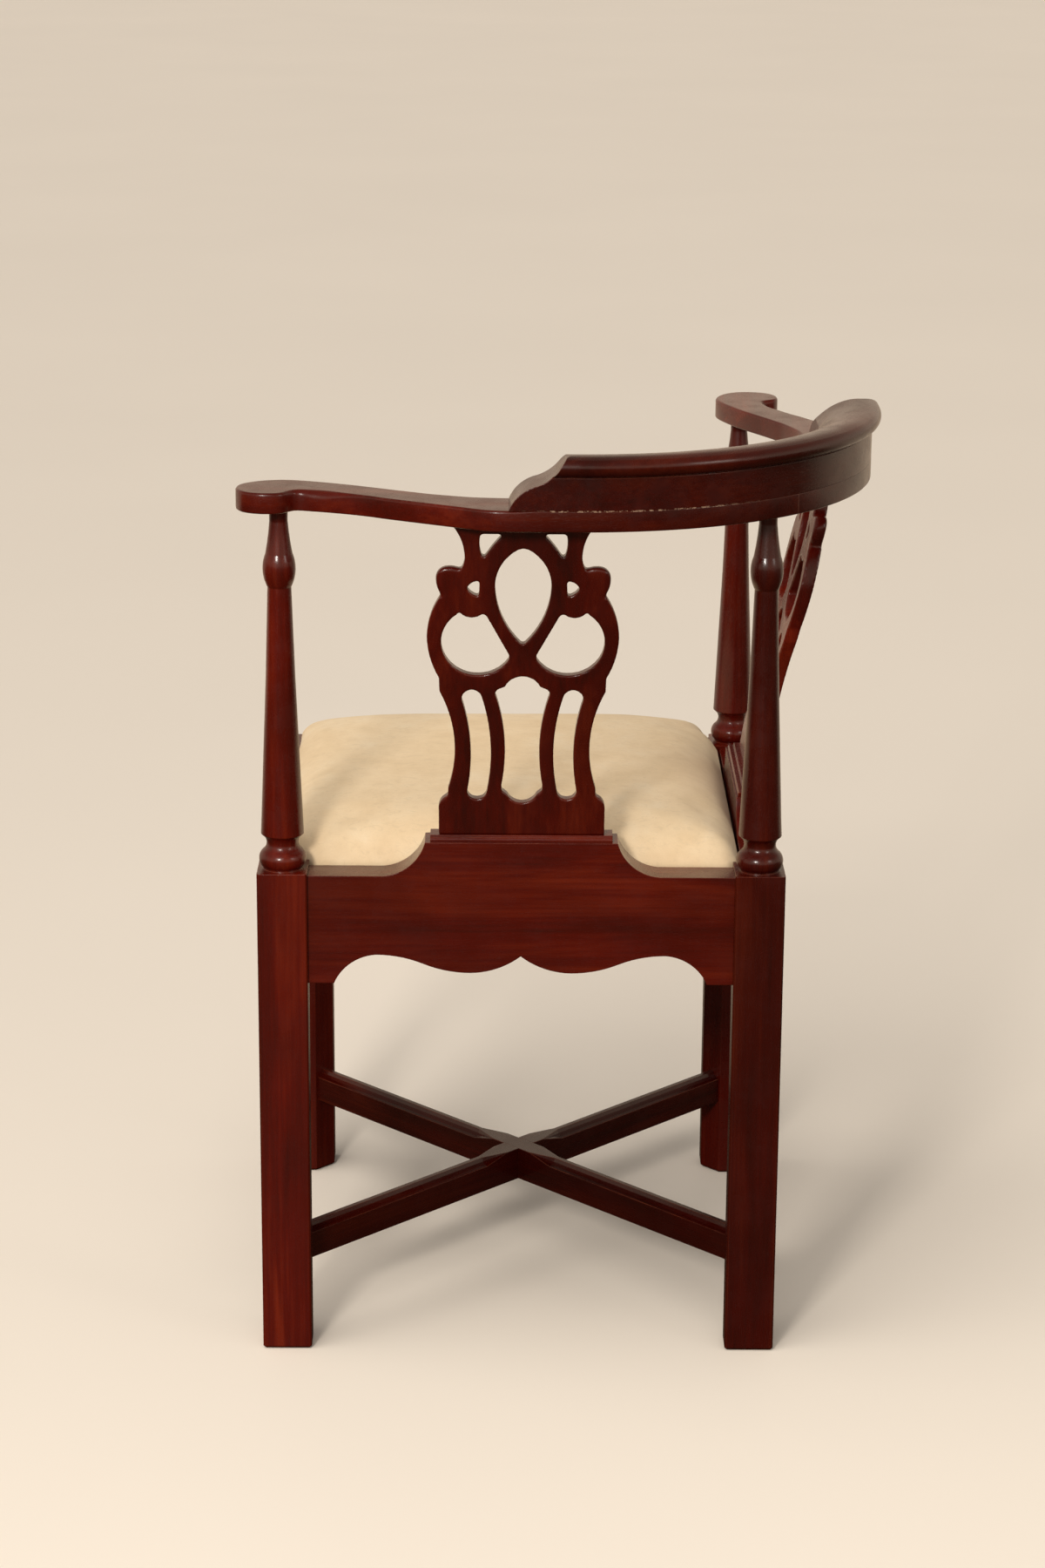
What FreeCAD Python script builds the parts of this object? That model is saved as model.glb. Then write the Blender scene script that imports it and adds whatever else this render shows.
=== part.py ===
import FreeCAD, Part
import math
import os
import Sketcher

# Corner chair: square frame set cornerwise, two pierced splats, horseshoe arms and a crest.
# Origin on the floor under the middle of the chair's outline, +Z up.
# The near side lies along -Y, and the back corner of the chair is at +X, -Y.

doc = FreeCAD.newDocument("CornerChair")
V = FreeCAD.Vector

sizes = {
    "seat_side": 450.0,
    "leg_side": 42.7,
    "leg_inner_flat": 16.5,
    "foot_ease": 2.5,
    "leg_ease": 1.5,
    "post_rise": 2.5,
    "rail_bottom": 341.0,
    "rail_depth": 96.5,
    "rail_setback": 4.5,
    "front_rail_thick": 26.0,
    "ledge_drop": 20.0,
    "rear_rail_lip": 30.0,
    "front_rail_lip": 11.5,
    "tenon_thick": 10.0,
    "tenon_depth": 20.0,
    "tenon_inset": 6.0,
    "tenon_shoulder": 12.0,
    "glue_gap": 0.1,
    "arch_foot": 22.3,
    "arch_run": 36.0,
    "arch_rise": 25.9,
    "dip_half": 43.0,
    "dip_rise": 9.8,
    "cusp_rise": 25.0,
    "block_half": 82.0,
    "block_rise": 30.0,
    "block_cove": 36.0,
    "shoe_half": 77.5,
    "shoe_low_step": 3.3,
    "shoe_high_step": 2.2,
    "shoe_inset": 3.5,
    "shoe_low_width": 25.0,
    "shoe_high_inset": 1.5,
    "shoe_high_width": 18.5,
    "splat_half": 79.5,
    "splat_thick": 12.0,
    "splat_foot_inset": 6.3,
    "splat_rake": 58.0,
    "splat_bow": 1.9,
    "splat_tenon_thick": 6.0,
    "splat_foot_tenon_half": 55.0,
    "splat_foot_tenon": 10.0,
    "splat_head_tenon_half": 40.0,
    "splat_head_tenon": 8.0,
    "column_height": 315.0,
    "column_foot_radius": 17.0,
    "ring_radius": 20.2,
    "ring_neck_radius": 16.0,
    "column_cove_radius": 13.6,
    "taper_low_radius": 18.35,
    "taper_mid_radius": 12.5,
    "taper_high_radius": 10.05,
    "bulb_radius": 13.85,
    "bulb_neck_radius": 11.4,
    "column_neck_radius": 7.7,
    "column_top_radius": 8.2,
    "column_tenon_radius": 6.0,
    "column_tenon": 12.0,
    "arm_thick": 17.4,
    "arm_back_overhang": 77.2,
    "arm_back_radius": 258.0,
    "arm_width": 50.7,
    "hand_half": 35.85,
    "arm_back_run": 60.0,
    "crest_run": 56.7,
    "crest_height": 44.5,
    "crest_face": 27.0,
    "crest_nose": 7.5,
    "crest_width": 49.0,
    "stretcher_mid": 90.0,
    "stretcher_depth": 30.0,
    "stretcher_width": 19.0,
    "stretcher_cove": 7.2,
    "stretcher_cove_drop": 6.4,
    "stretcher_block": 24.0,
    "stretcher_runout": 26.0,
    "stretcher_tenon": 16.0,
    "stretcher_tenon_thick": 9.0,
    "stretcher_tenon_depth": 18.0,
    "corner_block_reach": 82.0,
    "corner_block_depth": 38.0,
    "corner_block_drop": 7.5,
    "seat_gap": 1.0,
    "seat_rest_gap": 0.3,
    "cover_thick": 1.5,
    "cover_turn_in": 30.0,
    "seat_board_thick": 12.0,
    "dust_cover_thick": 1.0,
    "cushion_crown": 41.5,
    "cushion_corner": 26.0,
    "cushion_roll": 24.0,
    "cushion_sag": 12.0,
}

sheet = doc.addObject("Spreadsheet::Sheet", "Sizes")
for row, (name, number) in enumerate(sizes.items(), 1):
    sheet.set(f"A{row}", name)
    sheet.set(f"B{row}", str(number))
    sheet.setAlias(f"B{row}", name)
doc.recompute()


class Size:
    # A length together with the sheet formula that gives it
    def __init__(self, value, text):
        self.value, self.text = value, text

    def __add__(self, other):
        other = size(other)
        return Size(self.value + other.value, f"({self.text} + {other.text})")

    def __sub__(self, other):
        other = size(other)
        return Size(self.value - other.value, f"({self.text} - {other.text})")

    def __mul__(self, share):
        return Size(self.value * share, f"({self.text} * ({share}))")

    def __truediv__(self, share):
        return Size(self.value / share, f"({self.text} / {share})")

    def __neg__(self):
        return Size(-self.value, f"(-1 * {self.text})")


def size(x):
    if isinstance(x, Size):
        return x
    if isinstance(x, str):
        return Size(float(sheet.get(x)), f"Sizes.{x}")
    return Size(float(x), f"({float(x)})")


zero = size(0.0)
root_half = 0.5 ** 0.5

# Levels above the floor
rail_bottom = size("rail_bottom")
rail_top = rail_bottom + size("rail_depth")
ledge = rail_top - size("ledge_drop")
post_top = rail_top + size("post_rise")
block_top = rail_top + size("block_rise")
shoe_step = block_top + size("shoe_low_step")
shoe_top = shoe_step + size("shoe_high_step")
arm_under = post_top + size("column_height")
arm_top = arm_under + size("arm_thick")

# Distances from the middle of the seat frame
half = size("seat_side") / 2
leg = size("leg_side")
axis = half - leg / 2
leg_in = half - leg
rail_face = half - size("rail_setback")
rear_lip = rail_face - size("rear_rail_lip")
front_lip = rail_face - size("front_rail_lip")
front_rail_in = rail_face - size("front_rail_thick")
tenon_out = rail_face - size("tenon_inset")
tenon_in = tenon_out - size("tenon_thick")
splat_foot = rail_face - size("splat_foot_inset")
splat_head = splat_foot + size("splat_rake")
arc_out = size("arm_back_radius")
arc_mid = half + size("arm_back_overhang") - arc_out
arc_in = arc_out - size("arm_width")
gap = size("glue_gap")

# The outline reaches from the hand lobes to the nose of the crest
hand = size("hand_half")
lobe_reach = axis + hand
nose_reach = arc_mid + arc_out + size("crest_nose")
shift = (nose_reach - lobe_reach) / 2

pieces = []


def new_body(label, turn=0.0, x=zero, y=zero, z=zero):
    body = doc.addObject("PartDesign::Body", label)
    body.Label = label
    body.Placement = FreeCAD.Placement(V(0, 0, 0), FreeCAD.Rotation(V(0, 0, 1), turn))
    body.setExpression("Placement.Base.x", (x - shift).text)
    body.setExpression("Placement.Base.y", (y + shift).text)
    body.setExpression("Placement.Base.z", z.text)
    pieces.append(body)
    return body


class Via:
    # A point that an arc passes through between two corners
    def __init__(self, x, y):
        self.x, self.y = size(x), size(y)


def at_point(geo, point, x, y):
    # The two distances that hold a point of the sketch, each with its sheet formula
    x, y = size(x), size(y)
    return [(Sketcher.Constraint("DistanceX", -1, 1, geo, point, x.value), x.text),
            (Sketcher.Constraint("DistanceY", -1, 1, geo, point, y.value), y.text)]


def span(a, b):
    across, up = size(a[0]) - b[0], size(a[1]) - b[1]
    return Size((across.value ** 2 + up.value ** 2) ** 0.5, f"hypot({across.text}; {up.text})")


def arc_radius(first, via, last):
    # Radius of the circle through three points: their three distances over four times the area
    middle = (via.x, via.y)
    sides = [span(first, middle), span(middle, last), span(first, last)]
    ax, ay = via.x - first[0], via.y - first[1]
    bx, by = size(last[0]) - first[0], size(last[1]) - first[1]
    area = abs(ax.value * by.value - ay.value * bx.value)
    value = sides[0].value * sides[1].value * sides[2].value / (2 * area)
    text = " * ".join(side.text for side in sides)
    return Size(value, f"{text} / (2 * abs({ax.text} * {by.text} - {ay.text} * {bx.text}))")


def draw(sk, loop):
    # A loop is a list of corners, joined by lines or by arcs where a Via stands between them
    edges, via = [], None
    start = loop[0]
    for item in loop[1:] + loop[:1]:
        if isinstance(item, Via):
            via = item
            continue
        edges.append((start, via, item))
        start, via = item, None
    ends, held = [], []
    for first, via, last in edges:
        a = V(size(first[0]).value, size(first[1]).value, 0)
        b = V(size(last[0]).value, size(last[1]).value, 0)
        if via is None:
            geo = sk.addGeometry(Part.LineSegment(a, b), False)
            ends.append((geo, 1, 2))
            continue
        # Sketch arcs run anticlockwise, so a clockwise one starts at its last corner
        through = V(via.x.value, via.y.value, 0)
        forward = (through - a).cross(b - through).z > 0
        start_at, end_at = (a, b) if forward else (b, a)
        circle = Part.Circle(a, through, b)
        low = math.atan2(start_at.y - circle.Center.y, start_at.x - circle.Center.x)
        high = math.atan2(end_at.y - circle.Center.y, end_at.x - circle.Center.x)
        circle = Part.Circle(circle.Center, V(0, 0, 1), circle.Radius)
        arc = Part.ArcOfCircle(circle, low, high if high > low else high + 2 * math.pi)
        geo = sk.addGeometry(arc, False)
        ends.append((geo, 1, 2) if forward else (geo, 2, 1))
        radius = arc_radius(first, via, last)
        held.append((Sketcher.Constraint("Radius", geo, radius.value), radius.text))
    for i, (geo, begin, end) in enumerate(ends):
        following = ends[(i + 1) % len(ends)]
        held.append((Sketcher.Constraint("Coincident", geo, end, following[0], following[1]), None))
        held += at_point(geo, begin, edges[i][0][0], edges[i][0][1])
    count = sk.ConstraintCount
    sk.addConstraint([constraint for constraint, text in held])
    for index, (constraint, text) in enumerate(held, count):
        if text:
            sk.setExpression(f"Constraints[{index}]", text)


def sketch(body, plane, loops, lift=zero):
    sk = body.newObject("Sketcher::SketchObject", body.Label + "_sketch")
    origin_plane = next(f for f in body.Origin.OriginFeatures if f.Role == plane)
    sk.AttachmentSupport = (origin_plane, [""])
    sk.MapMode = "FlatFace"
    sk.setExpression("AttachmentOffset.Base.z", lift.text)
    for loop in loops:
        draw(sk, loop)
    return sk


def extrude(body, kind, profile, length=None, back=False, both=False):
    feature = body.newObject("PartDesign::" + kind, body.Label + "_" + kind.lower())
    feature.Profile = profile
    if length is None:
        feature.Type = "ThroughAll"
    else:
        feature.setExpression("Length", length.text)
    feature.Reversed = back
    feature.SideType = "Symmetric" if both else "One side"
    return feature


def box(body, kind, low, high, turn=0.0, x=zero, y=zero):
    # Corners are given in the box's own directions, turned about the point x, y
    feature = body.newObject("PartDesign::" + kind + "Box", body.Label + "_box")
    feature.Placement = FreeCAD.Placement(V(0, 0, 0), FreeCAD.Rotation(V(0, 0, 1), turn))
    cos = {0.0: 1.0, 45.0: root_half}[turn]
    sin = {0.0: 0.0, 45.0: root_half}[turn]
    low, high = [size(v) for v in low], [size(v) for v in high]
    for name, a, b in zip(("Length", "Width", "Height"), low, high):
        feature.setExpression(name, (b - a).text)
    feature.setExpression("Placement.Base.x", (x + low[0] * cos - low[1] * sin).text)
    feature.setExpression("Placement.Base.y", (y + low[0] * sin + low[1] * cos).text)
    feature.setExpression("Placement.Base.z", low[2].text)
    return feature


def rod(body, kind, radius, x, y, low, high):
    feature = body.newObject("PartDesign::" + kind + "Cylinder", body.Label + "_rod")
    feature.setExpression("Radius", radius.text)
    feature.setExpression("Height", (high - low).text)
    for name, at in (("x", x), ("y", y), ("z", low)):
        feature.setExpression("Placement.Base." + name, at.text)
    return feature


def soften(body, kind, amount, wanted):
    # Rounds or bevels the edges of the body's last feature that wanted() picks
    doc.recompute()
    last = body.Tip
    names = [f"Edge{i}" for i, edge in enumerate(last.Shape.Edges, 1) if wanted(edge)]
    feature = body.newObject("PartDesign::" + kind, body.Label + "_" + kind.lower())
    feature.Base = (last, names)
    feature.setExpression("Radius" if kind == "Fillet" else "Size", amount.text)
    return feature


def near(a, b):
    return abs(a - b) < 0.01


def flat_at(edge, level):
    return near(edge.BoundBox.ZMin, level.value) and near(edge.BoundBox.ZMax, level.value)


def rectangle(low_x, low_y, high_x, high_y):
    return [(low_x, low_y), (high_x, low_y), (high_x, high_y), (low_x, high_y)]


# Legs and posts, drawn about their own axis with the inner corner towards +X +Y
def leg_body(label, turn, x, y, top):
    body = new_body(label, turn, x, y)
    reach = leg / 2
    extrude(body, "Pad", sketch(body, "XY_Plane", [rectangle(-reach, -reach, reach, reach)]), top)
    flat = size("leg_inner_flat")
    corner = [(reach - flat, reach), (reach, reach - flat), (reach + 1, reach - flat),
              (reach + 1, reach + 1), (reach - flat, reach + 1)]
    extrude(body, "Pocket", sketch(body, "XY_Plane", [corner]), rail_bottom, back=True)
    soften(body, "Chamfer", size("leg_ease"), lambda e: near(e.BoundBox.XLength, 0)
           and near(e.BoundBox.YLength, 0) and min(e.BoundBox.XMin, e.BoundBox.YMin) < -1)
    soften(body, "Chamfer", size("foot_ease"), lambda e: flat_at(e, zero))
    # Mortises for the two rails and the stretcher
    low = rail_bottom + size("tenon_shoulder") - gap
    high = ledge - size("tenon_shoulder") + gap
    deep = reach - size("tenon_depth") - gap
    out, inner = axis - tenon_out - gap, axis - tenon_in + gap
    box(body, "Subtractive", (deep, out, low), (reach + 1, inner, high))
    box(body, "Subtractive", (out, deep, low), (inner, reach + 1, high))
    face = (leg - flat) * root_half
    wide = size("stretcher_tenon_thick") / 2 + gap
    tall = size("stretcher_tenon_depth") / 2 + gap
    box(body, "Subtractive", (face - size("stretcher_tenon") - gap, -wide,
                              size("stretcher_mid") - tall),
        (face + 1, wide, size("stretcher_mid") + tall), turn=45.0)
    return body


def column(body):
    # Turned column: ring, cove, long taper, bulb and neck, with a round tenon into the arm
    low, high = post_top + 31, arm_under - 69
    run = high - low
    profile = [
        (zero, post_top - 5),
        (size("column_foot_radius"), post_top - 5),
        (size("column_foot_radius"), post_top + 1.5),
        Via(size("ring_radius"), post_top + 9.5),
        (size("ring_neck_radius"), post_top + 17),
        Via(size("column_cove_radius"), post_top + 22.5),
        (size("column_cove_radius") + 1.6, post_top + 28),
        (size("taper_low_radius"), low),
        (size("taper_mid_radius"), low + run * 0.64),
        (size("taper_high_radius"), high),
        (size("taper_high_radius") + 0.9, high + 1.8),
        Via(size("bulb_radius"), high + 14.5),
        (size("bulb_neck_radius"), high + 28.5),
        Via((size("bulb_neck_radius") + size("column_neck_radius")) / 2 - 0.3, high + 41.5),
        (size("column_neck_radius"), high + 56),
        Via(size("column_neck_radius") + 0.1, high + 62),
        (size("column_top_radius"), arm_under),
        (size("column_tenon_radius"), arm_under),
        (size("column_tenon_radius"), arm_under + size("column_tenon")),
        (zero, arm_under + size("column_tenon")),
    ]
    profile_sketch = sketch(body, "XZ_Plane", [profile])
    turned = body.newObject("PartDesign::Revolution", body.Label + "_turning")
    turned.Profile = profile_sketch
    turned.ReferenceAxis = (profile_sketch, ["V_Axis"])
    turned.Angle = 360.0


for label, turn, x, y in (("left_post", 0, -axis, -axis), ("rear_post", 90, axis, -axis),
                          ("right_post", 180, axis, axis)):
    post = leg_body(label, turn, x, y, post_top)
    column(post)

# The front leg is rebated so that the seat corner covers it
front_leg = leg_body("front_leg", -90, -axis, axis, rail_top)
box(front_leg, "Subtractive", (axis - front_lip, axis - front_lip, ledge),
    (leg / 2 + 1, leg / 2 + 1, rail_top + 1))


# Seat rails, drawn along X with the outer face towards -Y
def rail_outline(top):
    # Scalloped lower edge from the middle cusp to the leg, then the top, then mirrored
    foot = leg_in - size("arch_foot")
    spring = foot - size("arch_run")
    dip = size("dip_half")
    high = rail_bottom + size("arch_rise")
    low = rail_bottom + size("dip_rise")
    cusp = rail_bottom + size("cusp_rise")
    middle = (spring + dip) / 2
    level = (high + low) / 2
    right = [
        (zero, cusp),
        Via(dip / 2, low + (cusp - low) * 0.24),
        (dip, low),
        Via((dip + middle) / 2, low + (level - low) * 0.24),
        (middle, level),
        Via((middle + spring) / 2, high - (high - level) * 0.24),
        (spring, high),
        Via(spring + size("arch_run") * 0.716, high - size("arch_rise") * 0.432),
        (foot, rail_bottom),
        (leg_in, rail_bottom),
    ]
    right += top
    left = []
    for item in reversed(right[1:]):
        left.append(Via(-item.x, item.y) if isinstance(item, Via) else (-item[0], item[1]))
    return right + left


def rail_body(label, turn, thick, lip, raised):
    body = new_body(label, turn)
    top = [(leg_in, rail_top)]
    if raised:
        block, cove = size("block_half"), size("block_cove")
        top += [(block + cove, rail_top), Via(block + cove * 0.3, rail_top + size("block_rise") * 0.38),
                (block, block_top)]
    front = sketch(body, "XZ_Plane", [rail_outline(top)], rail_face)
    extrude(body, "Pad", front, thick, back=True)
    # Ledge that carries the seat
    box(body, "Subtractive", (-leg_in - 1, -lip, ledge), (leg_in + 1, -rail_face + thick + 1, block_top + 1))
    # Tenons into the posts
    low, high = rail_bottom + size("tenon_shoulder"), ledge - size("tenon_shoulder")
    end = leg_in + size("tenon_depth")
    box(body, "Additive", (leg_in - 1, -tenon_out, low), (end, -tenon_in, high))
    box(body, "Additive", (-end, -tenon_out, low), (-leg_in + 1, -tenon_in, high))
    return body


foot_mid = splat_foot - size("splat_thick") / 2
foot_half = size("splat_foot_tenon_half")
tenon_half = size("splat_tenon_thick") / 2
foot_end = block_top - size("splat_foot_tenon")

for label, turn in (("rear_left_rail", 0), ("rear_right_rail", 90)):
    rail = rail_body(label, turn, rail_face - leg_in, rear_lip, True)
    box(rail, "Subtractive", (-foot_half - gap, -foot_mid - tenon_half - gap, foot_end - gap),
        (foot_half + gap, -foot_mid + tenon_half + gap, block_top + 1))
for label, turn in (("front_left_rail", -90), ("front_right_rail", 180)):
    rail_body(label, turn, size("front_rail_thick"), front_lip, False)

# Shoes: a two-step moulding on each raised rail
for label, turn in (("rear_left_shoe", 0), ("rear_right_shoe", 90)):
    shoe = new_body(label, turn)
    low_out = rail_face - size("shoe_inset")
    low_in = low_out - size("shoe_low_width")
    high_out = low_out - size("shoe_high_inset")
    high_in = high_out - size("shoe_high_width")
    steps = [
        (-low_out, block_top), (-low_in, block_top),
        (-low_in, block_top + size("shoe_low_step") * 0.6), (-low_in - 1, shoe_step),
        (-high_in, shoe_step), (-high_in - 0.6, shoe_top), (-high_out + 0.3, shoe_top),
        (-high_out, shoe_step), (-low_out + 0.8, shoe_step),
        (-low_out, block_top + size("shoe_low_step") * 0.6),
    ]
    extrude(shoe, "Pad", sketch(shoe, "YZ_Plane", [steps]), size("shoe_half") * 2, both=True)
    box(shoe, "Subtractive", (-foot_half - gap, -foot_mid - tenon_half - gap, block_top - 1),
        (foot_half + gap, -foot_mid + tenon_half + gap, shoe_top + 1))


# Pierced splats, drawn on a board 79.5 half wide and 282 tall and fitted to the real one
def splat_at(x, z):
    tall = arm_under - shoe_top
    return size("splat_half") * (x / 79.5), shoe_top + tall * (z / 282.0)


def eased(points):
    # Four numbers mark a corner to be rounded, and the last says how far back the round starts
    out = []
    for i, point in enumerate(points):
        if len(point) < 4:
            out.append(point)
            continue
        x, z, back = point[0], point[1], point[3]
        sides = []
        for other in (points[i - 1], points[(i + 1) % len(points)]):
            far = math.hypot(other[0] - x, other[1] - z)
            sides.append(((other[0] - x) / far, (other[1] - z) / far))
        (ax, az), (bx, bz) = sides
        opening = math.acos(ax * bx + az * bz) / 2
        across = math.hypot(ax + bx, az + bz)
        reach = back * math.tan(opening) * (1 / math.sin(opening) - 1)
        out += [(x + ax * back, z + az * back),
                (x + (ax + bx) / across * reach, z + (az + bz) / across * reach, 1),
                (x + bx * back, z + bz * back)]
    return out


def splat_loop(points, twin=False):
    # Three numbers mark a point on an arc, and a twin is mirrored about the middle
    loop = []
    for point in eased(points):
        x, z = splat_at(-point[0] if twin else point[0], point[1])
        loop.append(Via(x, z) if len(point) == 3 else (x, z))
    return loop


def both_sides(right):
    # Closes a half outline that starts and ends on or beside the middle line
    left = [(-p[0],) + tuple(p[1:]) for p in reversed(right)]
    return right + left


splat_edge = [
    (70.3, 0), (70.3, 22.5), (68.4, 31.3, 1), (62.5, 36), (62.3, 43), (56.6, 80, 1), (69.3, 133),
    (69.6, 145.3), (77, 164, 1), (79.5, 183), (75.9, 203, 1), (67.4, 220.0), (70.6, 225.2, 1),
    (71.8, 231.8), (70.1, 240.8, 1), (62.3, 244.7), (57.0, 244.6, 1), (51.3, 242.3),
    (48.9, 247.6, 1), (48.2, 254), (51.1, 268.5, 1), (59.5, 282),
]
splat_pear = [(0, 173.6, 0, 5.0), (18.4, 203.4, 1), (23.1, 228.5), (18.2, 246.2, 1), (7.0, 258.2)]
splat_pear += [(0, 260.8, 1), (-7.0, 258.2), (-18.2, 246.2, 1), (-23.1, 228.5), (-18.4, 203.4, 1)]
splat_middle = [
    (12.4, 37.5), (17, 41), (17.2, 46), (14.4, 82, 1), (23, 131.3), (21.1, 134.5), (14.5, 137.5),
    (0, 146.9, 1), (-14.5, 137.5), (-21.1, 134.5), (-23, 131.3), (-14.4, 82, 1), (-17.2, 46),
    (-17, 41), (-12.4, 37.5), (0, 29.6, 1),
]
splat_pairs = [
    [(16.4, 273.4, 0, 3.0), (25.2, 263.0, 1), (33.4, 251.0, 0, 4.2), (35.8, 262, 1),
     (35.4, 273.5, 0, 2.4)],
    [(35.9, 233.0, 0, 2.4), (36.4, 218.4, 0, 2.2), (42.0, 221.2, 1), (47.0, 226.2, 0, 2.4),
     (42.3, 230.9, 1)],
    [(11.5, 162.5), (58.9, 156.8, 1), (54.0, 205.4, 0, 2.4), (43.0, 200.1, 1),
     (31.4, 203.9, 0, 3.2), (11.2, 166)],
    [(46.2, 40), (43, 75, 1), (50.6, 125), (42.4, 134.4, 1), (34.4, 129), (26.3, 77, 1), (29.5, 41),
     (38.2, 33, 1)],
]

for label, turn in (("rear_left_splat", 0), ("rear_right_splat", 90)):
    splat = new_body(label, turn)
    thick, bow = size("splat_thick"), size("splat_bow")
    board = sketch(splat, "XZ_Plane", [splat_loop(both_sides(splat_edge))], splat_head + 1)
    through = splat_head - splat_foot + thick + 2
    extrude(splat, "Pad", board, through, back=True)
    holes = [[splat_loop(splat_pear), splat_loop(splat_middle)]]
    holes += [[splat_loop(hole), splat_loop(hole, twin=True)] for hole in splat_pairs]
    for loops in holes:
        extrude(splat, "Pocket", sketch(splat, "XZ_Plane", loops, splat_head + 1), through)
    # Both faces follow the same slight double curve as the board leans out to the arm
    low, high = shoe_top, arm_under
    waist, lean = (low + high) / 2, (splat_foot + splat_head) / 2
    curve = [(-splat_foot, low), (-(splat_foot + lean) / 2 + bow, low + (high - low) / 4),
             (-lean, waist), (-(lean + splat_head) / 2 - bow, high - (high - low) / 4),
             (-splat_head, high)]
    for deep, far in ((zero, -splat_head - 5), (thick, -splat_foot + thick + 5)):
        line = [(y + deep, z) for y, z in curve]
        waste = [line[0], Via(*line[1]), line[2], Via(*line[3]), line[4],
                 (line[4][0], high + 1), (far, high + 1), (far, low - 1), (line[0][0], low - 1)]
        extrude(splat, "Pocket", sketch(splat, "YZ_Plane", [waste]), size("splat_half") * 3, both=True)
    head_mid = splat_head - thick / 2
    head_half = size("splat_head_tenon_half")
    box(splat, "Additive", (-foot_half, -foot_mid - tenon_half, foot_end),
        (foot_half, -foot_mid + tenon_half, shoe_top + 2))
    box(splat, "Additive", (-head_half, -head_mid - tenon_half, arm_under - 2),
        (head_half, -head_mid + tenon_half, arm_under + size("splat_head_tenon")))

# Arms: each runs from its hand lobe to the mitre over the rear post
for label, right in (("left_arm", False), ("right_arm", True)):
    arm = new_body(label)

    def flip(x, y):
        return (-size(y), -size(x)) if right else (size(x), size(y))

    def around_post(x, y):
        # The hand and its neck are drawn on a hand of 35.85 and fitted to the real one
        return flip(hand * (x / 35.85) - axis, hand * (y / 35.85) - axis)

    def out_of_arc(x, y):
        return flip(arc_mid + x, -arc_mid + y)

    back = -arc_out
    inside = -arc_in
    slant = root_half
    swing = size("arm_back_run")
    outline = [
        out_of_arc(arc_in * slant, -arc_in * slant),
        out_of_arc(arc_out * slant, -arc_out * slant),
        Via(*out_of_arc(arc_out * 0.3827, -arc_out * 0.9239)),
        out_of_arc(zero, back),
        out_of_arc(-swing, back),
        Via(*out_of_arc(-swing * 1.2417, back + swing * 0.045)),
        out_of_arc(-swing * 1.4583, back + swing * 0.1533),
        around_post(96.2, -54.9),
        Via(*around_post(61, -35.6)),
        around_post(23.7, -23.1),
        around_post(15.7, -21.4),
        Via(*around_post(10.6, -26.2)),
        around_post(7.4, -33.6),
        Via(*around_post(4.2, -35.7)),
        around_post(-1.4, -35.85),
        Via(*around_post(-21, -31)),
        around_post(-32.6, -14.5),
        Via(*around_post(-35.85, -9)),
        around_post(-34.6, -3),
        Via(*around_post(-28.2, 3.8)),
        around_post(-22.2, 15),
        Via(*around_post(-17, 19.4)),
        around_post(-11.4, 20.65),
        around_post(13.7, 20.65),
        Via(*around_post(21.5, 17.9)),
        around_post(28.7, 14.7),
        Via(*around_post(62, 2.4)),
        around_post(94.9, -14.5),
        around_post(131.2, -32.5),
        Via(*out_of_arc(-swing * 1.4333, inside + swing * 0.0867)),
        out_of_arc(zero, inside),
        Via(*out_of_arc(arc_in * 0.3827, -arc_in * 0.9239)),
    ]
    extrude(arm, "Pad", sketch(arm, "XY_Plane", [outline], arm_under), size("arm_thick"))
    post_x, post_y = flip(-axis, -axis)
    tenon_top = arm_under + size("column_tenon") + gap
    for x, y in ((post_x, post_y), (axis, -axis)):
        rod(arm, "Subtractive", size("column_tenon_radius") + gap, x, y, arm_under - 1, tenon_top)
    corners = [flip(-head_half - gap, -head_mid - tenon_half - gap * 3),
               flip(head_half + gap, -head_mid + tenon_half + gap * 3)]
    if right:
        corners = [(corners[1][0], corners[1][1]), (corners[0][0], corners[0][1])]
    box(arm, "Subtractive", (corners[0][0], corners[0][1], arm_under - 1),
        (corners[1][0], corners[1][1], arm_under + size("splat_head_tenon") + gap))

# Crest: a moulded quarter ring on the arms with a short straight run and a ramp at each end
crest = new_body("crest_rail", 0, arc_mid, -arc_mid, arm_top)
tall, face = size("crest_height"), size("crest_face")


def part(v):
    # The moulding's small distances, drawn on a crest 44.5 tall and fitted to the real one
    return tall * (v / 44.5)


nose = arc_out + size("crest_nose")
crest_in = arc_out - size("crest_width")
section = [
    (arc_out, zero), (arc_out, face), (arc_out - part(1.2), face + part(0.7)),
    (arc_out, face + part(1.4)), Via(nose, face + part(9)), (nose - part(4), tall - part(2)),
    Via(nose - part(9), tall - part(0.4)), (nose - part(15.5), tall),
    Via(crest_in + part(21.5), tall - part(4.7)), (crest_in + part(3), tall - part(21.5)),
    Via(crest_in + part(0.8), tall - part(32.5)), (crest_in, zero),
]


def turned_section(loop):
    return [Via(-p.x, p.y) if isinstance(p, Via) else (-p[0], p[1]) for p in loop]


bend_sketch = sketch(crest, "XZ_Plane", [section])
bend = crest.newObject("PartDesign::Revolution", "crest_bend")
bend.Profile = bend_sketch
bend.ReferenceAxis = (bend_sketch, ["V_Axis"])
bend.Angle = 90.0
bend.Reversed = True
run = size("crest_run")
extrude(crest, "Pad", sketch(crest, "XZ_Plane", [section]), run, back=True)
extrude(crest, "Pad", sketch(crest, "YZ_Plane", [turned_section(section)]), run, back=True)


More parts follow.
